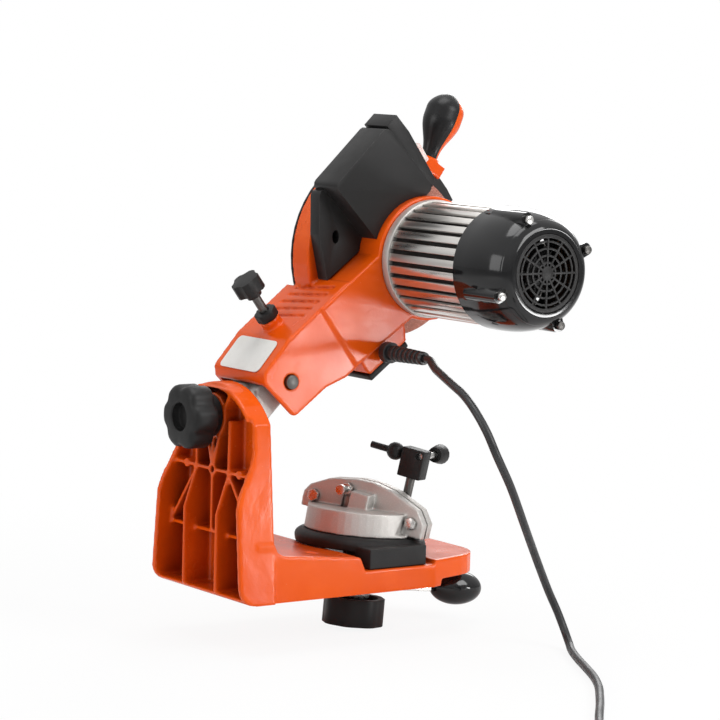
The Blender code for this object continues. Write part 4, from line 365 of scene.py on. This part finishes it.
ORANGE = orange_enamel()
BLACK = black_moulding()
SEAT_BLACK = black_moulding("seat_black", (0.016, 0.0155, 0.0155), 0.5)
KNOB_BLACK = black_moulding("knob_black", (0.010, 0.0097, 0.0097), 0.44)
SATIN = black_moulding("satin_black", (0.009, 0.009, 0.0095), 0.3)
GLOSS = gloss_black()
ALLOY = cast_alloy()
FINS = bright_fins()
STEEL = plated_steel()
DARK_STEEL = plated_steel("dark_steel", (0.12, 0.115, 0.11), 0.35)
WINDING = plated_steel("winding", (0.5, 0.24, 0.12), 0.4)
STONE = stone()
SHEATH = sheath()
LENS = lens()
LABEL = label()
BRASS = plated_steel("plug_brass", (0.72, 0.56, 0.28), 0.22)

FINISH = {
    "orange_casting": ORANGE, "black_casting": SEAT_BLACK, "cast_alloy": ALLOY,
    "bright_fins": FINS, "steel_parts": STEEL, "windings": WINDING, "gloss_black": GLOSS,
    "black_plastic": BLACK, "cord_rubber": SHEATH, "grinding_stone": STONE,
    "lamp_window": LENS, "bare_label": LABEL, "plug_brass": BRASS,
}
OWN_FINISH = (
    (KNOB_BLACK, ("tilt_lock_knob", "vise_lock_knob", "depth_knob", "depth_lock_nut",
                  "stop_knob", "stop_block")),
    (DARK_STEEL, ("depth_screw", "pivot_pin")),
)
SLOT_OF = {entry["node"]: entry["material_slot"] for entry in frame["record"]["subparts"]}
BODIES = frame["record"]["behaviour"]["bodies"]
BODY_OF = {node: body for body, nodes in BODIES.items() for node in nodes}


def repaint(obj, finish):
    """Give an object one finish."""
    obj.data.materials.clear()
    obj.data.materials.append(finish)


def dress_nodes():
    """Give every CAD node its slot's finish, and a few of them one of their own."""
    for name, node in frame["nodes"].items():
        repaint(node, FINISH[SLOT_OF[name]])
    for finish, names in OWN_FINISH:
        for name in names:
            repaint(frame["nodes"][name], finish)


def smooth(obj, degrees=35):
    """Smooth shading with sharp edges kept."""
    obj.data.shade_smooth()
    obj.data.set_sharp_from_angle(angle=math.radians(degrees))
    return obj


def settle(obj):
    """Turn an object's modifiers into its mesh."""
    bpy.context.view_layer.update()
    graph = bpy.context.evaluated_depsgraph_get()
    mesh = bpy.data.meshes.new_from_object(obj.evaluated_get(graph), depsgraph=graph)
    obj.modifiers.clear()
    obj.data = mesh


def place(obj, node, *more):
    """The piece stands for CAD nodes and rides with their body."""
    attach(obj, BODY_OF[node])
    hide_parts(node, *more)


WELD = 0.01 * MM


def copy_of(node):
    """A welded copy of a CAD node's mesh, to be refined."""
    mesh = frame["nodes"][node].data.copy()
    shape = bmesh.new()
    shape.from_mesh(mesh)
    bmesh.ops.remove_doubles(shape, verts=shape.verts, dist=WELD)
    bmesh.ops.recalc_face_normals(shape, faces=shape.faces)
    shape.to_mesh(mesh)
    shape.free()
    return add_object(node + "_fine", mesh)


def cast(node, voxel, passes):
    """A cast look: the node's own form with its edges and inner corners softly rounded."""
    obj = copy_of(node)
    remesh = obj.modifiers.new("remesh", "REMESH")
    remesh.mode = "VOXEL"
    remesh.voxel_size = voxel
    ease = obj.modifiers.new("ease", "SMOOTH")
    ease.factor = 0.5
    ease.iterations = passes
    settle(obj)
    obj.data.shade_smooth()
    place(obj, node)


def fine(node, edge, segments=2, degrees=35, finish=None):
    """The node's own form with its edges rounded off."""
    obj = copy_of(node)
    bevel = obj.modifiers.new("edge", "BEVEL")
    bevel.width = edge
    bevel.segments = segments
    bevel.limit_method = "ANGLE"
    bevel.angle_limit = math.radians(degrees)
    bevel.harden_normals = False
    settle(obj)
    if finish is not None:
        repaint(obj, finish)
    place(smooth(obj, degrees=40), node)


def frame_matrix(origin, x_axis, z_axis):
    """A matrix from an origin, a z axis and a direction that x is turned towards."""
    z = Vector(z_axis).normalized()
    x = Vector(x_axis)
    x = (x - z * x.dot(z)).normalized()
    return matrix_of(x, z.cross(x), z, Vector(origin))


def lathe(name, profile, finish, matrix, sides, radius_at=None, hollow=False):
    """A turned piece about the matrix's z axis; the profile runs from one pole or rim to the other.

    radius_at(r, z, angle) makes it out of round; a hollow profile closes on itself.
    """
    shape = bmesh.new()
    rings = []
    for r, z in profile:
        if r <= 0:
            rings.append([shape.verts.new((0, 0, z))])
            continue
        ring = []
        for k in range(sides):
            angle = FULL_TURN * k / sides
            reach = r if radius_at is None else radius_at(r, z, angle)
            ring.append(shape.verts.new((reach * math.cos(angle), reach * math.sin(angle), z)))
        rings.append(ring)
    pairs = list(zip(rings, rings[1:])) + ([(rings[-1], rings[0])] if hollow else [])
    for low, high in pairs:
        for k in range(sides):
            after = (k + 1) % sides
            corners = [low[k % len(low)], low[after % len(low)],
                       high[after % len(high)], high[k % len(high)]]
            kept = [v for i, v in enumerate(corners) if v not in corners[:i]]
            if len(kept) > 2:
                shape.faces.new(kept)
    for ring, flip in ((rings[0], True), (rings[-1], False)):
        if len(ring) > 1 and not hollow:
            shape.faces.new(ring[::-1] if flip else ring)
    bmesh.ops.recalc_face_normals(shape, faces=shape.faces)
    mesh = bpy.data.meshes.new(name)
    shape.to_mesh(mesh)
    shape.free()
    mesh.materials.append(finish)
    obj = add_object(name, mesh)
    obj.matrix_world = matrix
    return smooth(obj)


def smooth_route(points, per_span=10):
    """A Catmull-Rom curve through the points."""
    places = [Vector(p) for p in points]
    ends = [2 * places[0] - places[1]] + places + [2 * places[-1] - places[-2]]
    route = []
    for i in range(1, len(ends) - 2):
        a, b, c, d = ends[i - 1:i + 3]
        for k in range(per_span):
            t = k / per_span
            route.append(0.5 * (2 * b + (c - a) * t + (2 * a - 5 * b + 4 * c - d) * t * t
                                + (3 * b - a - 3 * c + d) * t ** 3))
    route.append(places[-1])
    return route


# Cord: the same route as the CAD lead, then a coil of the unseen length, then the plug.
CORD_R = 3.5 * MM
CORD_ROUTE = [
    (-0.0957, -0.1064, 0.2032), (-0.1035, -0.1053, 0.2026), (-0.1130, -0.1010, 0.2002),
    (-0.1250, -0.0958, 0.1975), (-0.1400, -0.0912, 0.1945), (-0.1590, -0.0865, 0.1900),
    (-0.1802, -0.0835, 0.1832), (-0.2000, -0.0805, 0.1730), (-0.2150, -0.0820, 0.1570),
    (-0.2208, -0.0885, 0.1380), (-0.2105, -0.1121, 0.1088), (-0.1941, -0.1396, 0.0746),
    (-0.1732, -0.1709, 0.0389), (-0.1590, -0.1960, 0.0080), (-0.1570, -0.2080, -0.0110),
    (-0.1620, -0.2120, -0.0258), (-0.1730, -0.2090, -0.0357), (-0.1870, -0.2010, -0.0392),
    (-0.2160, -0.1840, -0.0392), (-0.2480, -0.1670, -0.0392), (-0.2790, -0.1500, -0.0392),
    (-0.3080, -0.1310, -0.0392), (-0.3350, -0.1100, -0.0392), (-0.3620, -0.0880, -0.0392),
    (-0.3890, -0.0650, -0.0392), (-0.4150, -0.0440, -0.0392), (-0.4420, -0.0230, -0.0392),
    (-0.4700, -0.0020, -0.0392), (-0.4980, 0.0180, -0.0392),
]
COIL_OUTER = 46 * MM
COIL_PITCH = 7.15 * MM
TURN_STEPS = 28
BRIDGE_STEPS = 6
LEAVE_STEPS = 8
PLUG_R = 19 * MM
PLUG_TAIL_R = 8 * MM
PLUG_LAP = 0.3 * MM


def coil_points(end, away, side):
    """Turns in three layers: two inward, two outward, then most of one along the outside."""
    lane = COIL_OUTER - CORD_R
    run_in = math.sqrt((COIL_OUTER + GAP) ** 2 - (lane - CORD_R) ** 2)
    centre = end + away * run_in + side * lane
    angle, radius, height = -math.pi / 2, lane, FLOOR_Z + GAP + CORD_R
    points = []

    def mark():
        points.append(Vector((centre.x, centre.y, 0)) + away * radius * math.cos(angle)
                      + side * radius * math.sin(angle) + Vector((0, 0, height)))

    mark()
    climb = (0.25, 0, 4 * COIL_PITCH)
    legs = ((2.0, -COIL_PITCH, 0), climb, (2.0, COIL_PITCH, 0), climb, (0.75, 0, 0))
    for turns, fin_shade_radius, rise in legs:
        for _ in range(round(turns * TURN_STEPS)):
            angle += FULL_TURN / TURN_STEPS
            radius += fin_shade_radius / TURN_STEPS
            height += rise / TURN_STEPS
            mark()
    return points


def build_cord():
    """One lead from the boot to the plug."""
    end = Vector(CORD_ROUTE[-1])
    away = (end - Vector(CORD_ROUTE[-2])).normalized()
    side = Vector((-away.y, away.x, 0))
    coil = coil_points(end, away, side)
    lead = smooth_route(CORD_ROUTE)
    gap = coil[0] - lead[-1]
    bridge = [lead[-1] + gap * k / BRIDGE_STEPS for k in range(1, BRIDGE_STEPS)]
    leaving = coil[-1]
    run_out = math.sqrt((COIL_OUTER + GAP) ** 2 - (COIL_OUTER - CORD_R - PLUG_TAIL_R) ** 2)
    plug_axis_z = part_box("plug_body")[0].z + PLUG_R
    tail = Vector((leaving.x, leaving.y, plug_axis_z)) + side * (run_out - PLUG_LAP)
    leave = []
    for k in range(1, LEAVE_STEPS + 1):
        share = k / LEAVE_STEPS
        ease = share * share * (3 - 2 * share)
        flat = leaving.lerp(tail, share)
        leave.append(Vector((flat.x, flat.y, leaving.z + (tail.z - leaving.z) * ease)))
    points = lead + bridge + coil + leave
    curve = bpy.data.curves.new("cord_lead", "CURVE")
    curve.dimensions = "3D"
    curve.bevel_depth = CORD_R
    curve.bevel_resolution = 5
    curve.use_fill_caps = True
    spline = curve.splines.new("POLY")
    spline.points.add(len(points) - 1)
    for point, at in zip(spline.points, points):
        point.co = (*at, 1)
    spline.use_smooth = True
    curve.materials.append(SHEATH)
    cord = add_object("cord_lead", curve)
    place(cord, "cord", "cord_coil")


HANDLE_X = 16 * MM
HANDLE_AT = math.radians(115.9)
HANDLE_SEAT = 2.6 * MM
HANDLE_LEAN = math.radians(22)
HANDLE_LONG = 60 * MM
HANDLE_BULB = 17 * MM
HANDLE_NECK = 7.5 * MM
HANDLE_SPLIT = -3 * MM
HANDLE_SEAM = 0.12 * MM


def egg_profile(steps=40):
    """The handle's radii and heights, from its foot up: the neck, the swell and a dome."""
    dome, head, dome_power, fall_power = 0.28, 0.4, 0.62, 1.15
    profile = []
    for k in range(steps + 1):
        down = 1 - k / steps
        if down < head:
            radius = HANDLE_BULB * math.sin(math.pi / 2 * min(1, down / dome)) ** dome_power
        else:
            fall = (down - head) / (1 - head)
            swell = (0.5 + 0.5 * math.cos(math.pi * fall)) ** fall_power
            radius = HANDLE_NECK + (HANDLE_BULB - HANDLE_NECK) * swell
        profile.append((radius, HANDLE_LONG * k / steps))
    profile[-1] = (0, HANDLE_LONG)
    return [(0, 0)] + profile


def build_handle():
    """The egg handle: black grip half and orange core half, one smooth form."""
    seat = GUARD_R + HANDLE_SEAT
    base = (HANDLE_X, HUB_Y + GUARD_REARWARD + seat * math.cos(HANDLE_AT),
            HUB_Z + seat * math.sin(HANDLE_AT))
    axis = (0, -math.sin(HANDLE_LEAN), math.cos(HANDLE_LEAN))
    matrix = frame_matrix(base, (1, 0, 0), axis)
    for name, node, finish, keep in (("grip_half", "handle_grip", SATIN, 1),
                                     ("core_half", "handle_core", ORANGE, -1)):
        obj = lathe(name, egg_profile(), finish, matrix, sides=64)
        shape = bmesh.new()
        shape.from_mesh(obj.data)
        cut = bmesh.ops.bisect_plane(shape, geom=shape.verts[:] + shape.edges[:] + shape.faces[:],
                                     plane_co=(0, HANDLE_SPLIT + keep * HANDLE_SEAM, 0),
                                     plane_no=(0, -keep, 0), clear_outer=True)
        rim = [g for g in cut["geom_cut"] if isinstance(g, bmesh.types.BMEdge)]
        bmesh.ops.triangle_fill(shape, use_beauty=True, edges=rim)
        bmesh.ops.recalc_face_normals(shape, faces=shape.faces)
        shape.to_mesh(obj.data)
        shape.free()
        place(smooth(obj, degrees=40), node)


def build_end_cap():
    """The motor's end cap: a rounded shell with four screw bosses standing out of it."""
    low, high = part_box("motor_end_cap")
    long, straight, rim, nose, wall = high.x - low.x, 14 * MM, 52 * MM, 36 * MM, 3 * MM
    bosses, boss_turn, boss_half_angle = 4, 0.75, 0.5
    boss_out, boss_r, boss_from, boss_to = 47.7 * MM, 6 * MM, 6.5 * MM, 48.5 * MM
    lip, land, chamfer, mouth = 0.9 * MM, 1 * MM, 0.6 * MM, 0.3 * MM
    crown, nose_low, nose_margin = 0.4 * MM, 0.05 * MM, 0.5 * MM
    step, hair = 0.12 * MM, 0.01 * MM
    curve = []
    steps = 26
    for k in range(steps + 1):
        angle = math.pi / 2 * k / steps
        curve.append((nose + (rim - nose) * math.sin(angle),
                      (long - straight) * (1 - math.cos(angle))))
    curve.insert(1, (nose + lip, step))
    outer = curve + [(rim, long - land), (rim - chamfer, long - mouth)]
    for at in (boss_from, boss_to):
        near = max(i for i, point in enumerate(outer) if point[1] < at)
        share = (at - outer[near][1]) / (outer[near + 1][1] - outer[near][1])
        radius = outer[near][0] + (outer[near + 1][0] - outer[near][0]) * share
        outer[near + 1:near + 1] = [(radius, at - step), (radius, at + step)]
    inner = [(rim - wall, long - mouth)] + [(r - wall, z + crown) for r, z in reversed(curve)]
    inner.append((nose - wall, nose_low))

    def reach(r, z, angle):
        """The shell's radius, or a boss's where one stands out."""
        along_boss = boss_from - hair < z < boss_to + hair
        if r < nose - nose_margin or not along_boss or (r, z) in inner:
            return r
        best = r
        for k in range(bosses):
            centre = FULL_TURN * (k + boss_turn) / bosses
            off = (angle - centre + math.pi) % FULL_TURN - math.pi
            across = boss_out * math.sin(off)
            if abs(off) < boss_half_angle and abs(across) < boss_r:
                best = max(best, boss_out * math.cos(off) + math.sqrt(boss_r ** 2 - across ** 2))
        return best

    matrix = frame_matrix((low.x, HUB_Y, HUB_Z), (0, 1, 0), (1, 0, 0))
    cap = lathe("end_cap_shell", outer + inner, GLOSS, matrix, sides=240, radius_at=reach,
                hollow=True)
    place(cap, "motor_end_cap")


def build_tilt_knob():
    """The lobed tilt knob, with a recessed face and a round neck."""
    low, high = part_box("tilt_lock_knob")
    long = high.y - low.y
    lobes, lobe_deep, lobe_sharpness, lobe_from, lobe_fade = 6, 3.4 * MM, 2.2, 19 * MM, 8 * MM
    # Radius and height in mm: the face's heights are from its rim, the skirt's from the foot.
    face = ((0, -8), (10.8, -8), (11.6, -7), (12, -1), (13, 0), (22.5, 0), (25.6, -1), (27.4, -3),
            (28, -6))
    skirt = ((28, 13), (27, 10.6), (24.4, 9.2), (20, 8.6), (18.4, 7.6), (18, 6), (18, 0.8),
             (17.2, 0), (0, 0))
    profile = [(r * MM, long + z * MM) for r, z in face] + [(r * MM, z * MM) for r, z in skirt]

    def reach(r, z, angle):
        """Scallops between the lobes, fading towards the middle."""
        share = min(1, max(0, (r - lobe_from) / lobe_fade))
        return r - lobe_deep * share * ((1 - math.cos(lobes * angle)) / 2) ** lobe_sharpness

    matrix = frame_matrix((0, low.y, TILT_Z), (1, 0, 0), (0, 1, 0))
    knob = lathe("tilt_knob_form", profile, KNOB_BLACK, matrix, sides=180, radius_at=reach)
    place(knob, "tilt_lock_knob")


def build_boot():
    """The cord's ribbed bend relief."""
    along, across = -90.5 * MM, -41 * MM
    at = (ARM_NEAR_X - GAP,
          PIVOT_Y + along * math.cos(ARM_PITCH) + across * math.sin(ARM_PITCH),
          PIVOT_Z - along * math.sin(ARM_PITCH) + across * math.cos(ARM_PITCH))
    # Radius and height in mm; a rib's are a change of its radius and a share of the pitch.
    collar = ((0, 0), (8.6, 0), (9, 0.4), (9, 7.4), (8.4, 8), (6.2, 8.2))
    rib = ((-1.1, 0), (-1.1, 0.3), (-0.2, 0.36), (0, 0.45), (0, 0.82), (-0.3, 0.93))
    end = ((5, 54.6), (5.4, 55.4), (5, 56), (0, 56))
    ribs, first, last, rib_r, taper = 7, 10, 54, 7, 1.4
    pitch = (last - first) / ribs
    profile = list(collar)
    for k in range(ribs):
        radius = rib_r - taper * k / ribs
        profile += [(radius + step, first + pitch * (k + share)) for step, share in rib]
    profile = [(r * MM, z * MM) for r, z in profile + list(end)]
    matrix = frame_matrix(at, (0, 1, 0), (-1, 0, 0))
    place(lathe("boot_form", profile, SHEATH, matrix, sides=64), "cord_boot")


def build_egg():
    """The clamp lever's egg, smooth."""
    obj = copy_of("lever_grip")
    more = obj.modifiers.new("round", "SUBSURF")
    more.levels = more.render_levels = 2
    settle(obj)
    repaint(obj, GLOSS)
    place(smooth(obj, degrees=60), "lever_grip")


def build_label():
    """The bare rating plate, with rounded corners."""
    corner_r, flat_enough, corner_share = 5 * MM, 0.02, 1.4
    obj = copy_of("rating_plate")
    shape = bmesh.new()
    shape.from_mesh(obj.data)
    bmesh.ops.dissolve_limit(shape, angle_limit=flat_enough, verts=shape.verts, edges=shape.edges)
    shape.edges.ensure_lookup_table()
    thickness = min(edge.calc_length() for edge in shape.edges)
    corners = [edge for edge in shape.edges if edge.calc_length() < corner_share * thickness]
    bmesh.ops.bevel(shape, geom=corners, offset=corner_r, segments=8, affect="EDGES", profile=0.5)
    shape.to_mesh(obj.data)
    shape.free()
    repaint(obj, LABEL)
    place(smooth(obj, degrees=30), "rating_plate")


FLOOR_HALF = 40.0
FLOOR_DROP = 0.2 * MM
FLOOR_COLOUR = (0.86, 0.86, 0.86, 1)
WHITE = (1, 1, 1, 1)
GLOW_FROM, GLOW_TO = 0.25, 0.8
GLOW_NEAR, GLOW_FAR = 0.9, 1.0
ROOM_LIGHT = 0.42
MIRROR_LOW, MIRROR_HIGH = (0.16, 0.16, 0.165, 1), (0.92, 0.92, 0.92, 1)
MIRROR_FROM, MIRROR_TO = 0.30, 0.80
LAMP_AIM = Vector((-0.03, -0.06, 0.18))


def make_floor():
    """A plain pale floor that keeps the object's shadow and fades to white away from it."""
    mesh = bpy.data.meshes.new("floor")
    low = FLOOR_Z - FLOOR_DROP
    signs = ((-1, -1), (1, -1), (1, 1), (-1, 1))
    mesh.from_pydata([(x * FLOOR_HALF, y * FLOOR_HALF, low) for x, y in signs], [], [(0, 1, 2, 3)])
    floor = add_object("floor", mesh)
    made = bpy.data.materials.new("pale_floor")
    made.use_nodes = True
    tree = made.node_tree
    tree.nodes.clear()
    output = tree.nodes.new("ShaderNodeOutputMaterial")
    diffuse = tree.nodes.new("ShaderNodeBsdfDiffuse")
    diffuse.inputs["Color"].default_value = FLOOR_COLOUR
    glow = tree.nodes.new("ShaderNodeEmission")
    glow.inputs["Color"].default_value = WHITE
    mix = tree.nodes.new("ShaderNodeMixShader")
    path = tree.nodes.new("ShaderNodeLightPath")
    share = tree.nodes.new("ShaderNodeMath")
    share.operation = "MULTIPLY"
    geometry = tree.nodes.new("ShaderNodeNewGeometry")
    reach = tree.nodes.new("ShaderNodeVectorMath")
    reach.operation = "LENGTH"
    fade = map_range(tree, GLOW_FROM, GLOW_TO, GLOW_NEAR, GLOW_FAR)
    fade.interpolation_type = "SMOOTHSTEP"
    for start, end in ((geometry.outputs["Position"], reach.inputs[0]),
                       (reach.outputs["Value"], fade.inputs["Value"]),
                       (fade.outputs["Result"], share.inputs[1]),
                       (path.outputs["Is Camera Ray"], share.inputs[0]),
                       (share.outputs[0], mix.inputs["Fac"]),
                       (diffuse.outputs[0], mix.inputs[1]),
                       (glow.outputs[0], mix.inputs[2]),
                       (mix.outputs[0], output.inputs["Surface"])):
        tree.links.new(start, end)
    mesh.materials.append(made)


def make_world():
    """An even light, white to the camera, and to mirrors a room that is darker low down."""
    world = bpy.data.worlds.new("studio")
    bpy.context.scene.world = world
    world.use_nodes = True
    tree = world.node_tree
    tree.nodes.clear()
    output = tree.nodes.new("ShaderNodeOutputWorld")
    room, seen, mirrored = (tree.nodes.new("ShaderNodeBackground") for _ in range(3))
    for node, strength in ((room, ROOM_LIGHT), (seen, 1.0), (mirrored, 1.0)):
        node.inputs["Color"].default_value = WHITE
        node.inputs["Strength"].default_value = strength
    coords = tree.nodes.new("ShaderNodeTexCoord")
    apart = tree.nodes.new("ShaderNodeSeparateXYZ")
    lift = map_range(tree, -1, 1, 0, 1)
    ramp = tree.nodes.new("ShaderNodeValToRGB")
    for element, at, colour in zip(ramp.color_ramp.elements, (MIRROR_FROM, MIRROR_TO),
                                   (MIRROR_LOW, MIRROR_HIGH)):
        element.position = at
        element.color = colour
    path = tree.nodes.new("ShaderNodeLightPath")
    first = tree.nodes.new("ShaderNodeMixShader")
    second = tree.nodes.new("ShaderNodeMixShader")
    for start, end in ((coords.outputs["Generated"], apart.inputs[0]),
                       (apart.outputs["Z"], lift.inputs["Value"]),
                       (lift.outputs["Result"], ramp.inputs["Fac"]),
                       (ramp.outputs["Color"], mirrored.inputs["Color"]),
                       (path.outputs["Is Glossy Ray"], first.inputs["Fac"]),
                       (room.outputs[0], first.inputs[1]),
                       (mirrored.outputs[0], first.inputs[2]),
                       (path.outputs["Is Camera Ray"], second.inputs["Fac"]),
                       (first.outputs[0], second.inputs[1]),
                       (seen.outputs[0], second.inputs[2]),
                       (second.outputs[0], output.inputs["Surface"])):
        tree.links.new(start, end)


def make_lamps(right, up, back):
    """Soft boxes around the object, placed by the camera's axes."""
    # Name, offset from the aim, width, height, power.
    lamps = (("key", right * 1.35 + up * 0.75 + back * 1.0, 0.9, 0.9, 17),
             ("side", Vector((-1.15, -0.81, -0.16)), 0.24, 0.16, 3),
             ("fill", right * -1.5 + up * 0.5 + back * 1.1, 1.1, 0.9, 8),
             ("top", up * 1.7 + back * 0.15, 1.3, 0.9, 13),
             ("rim", right * 0.5 + up * 0.8 - back * 1.5, 0.9, 0.6, 8))
    for name, offset, wide, high, power in lamps:
        data = bpy.data.lights.new(name, "AREA")
        data.shape = "RECTANGLE"
        data.size, data.size_y = wide, high
        data.energy = power
        lamp = add_object(name, data)
        lamp.location = LAMP_AIM + offset
        lamp.rotation_euler = (-offset).to_track_quat("-Z", "Y").to_euler()


SHARP_EDGE = 0.3 * MM
SOFT_EDGE = 0.7 * MM
LENS_EDGE = 1.4 * MM
SHARP = ("motor_flange", "fan_grille", "stop_knob", "jaw_bolt_left", "jaw_bolt_right",
         "tension_screw", "depth_screw", "switch_rocker", "pivot_pin")
SOFT = ("vise_lock_knob", "depth_knob", "depth_lock_nut", "stop_block", "clamp_lever",
        "moving_jaw", "wheel_cover", "cover_cap", "switch_plate")

view_right, view_up, view_back = make_camera()
dress_nodes()
build_cord()
build_handle()
build_end_cap()
build_tilt_knob()
build_boot()
build_egg()
build_label()
fine("motor_barrel", SHARP_EDGE, degrees=50)
for name in SHARP:
    fine(name, SHARP_EDGE)
fine("stop_post", SHARP_EDGE, finish=DARK_STEEL)
# Painted shade: of the four cap screws, the two to the camera's left get the bright steel and the
# other two the dark steel, as shaded copies.
screws = [f"cap_screw_{k}" for k in (1, 2, 3, 4)]
screws.sort(key=lambda screw: sum(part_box(screw), Vector()).dot(view_right))
for rank, name in enumerate(screws):
    fine(name, SHARP_EDGE, finish=STEEL if rank < 2 else DARK_STEEL)
for name in SOFT:
    fine(name, SOFT_EDGE, segments=3)
fine("lamp_lens", LENS_EDGE, segments=4)
cast("head_casting", voxel=1.1 * MM, passes=2)
cast("stand", voxel=1.3 * MM, passes=4)
cast("vise_body", voxel=1.0 * MM, passes=2)
cast("vise_seat", voxel=1.2 * MM, passes=3)
cast("tilt_bracket", voxel=1.2 * MM, passes=3)
make_floor()
make_world()
make_lamps(view_right, view_up, view_back)
bpy.context.scene.view_settings.view_transform = "Standard"
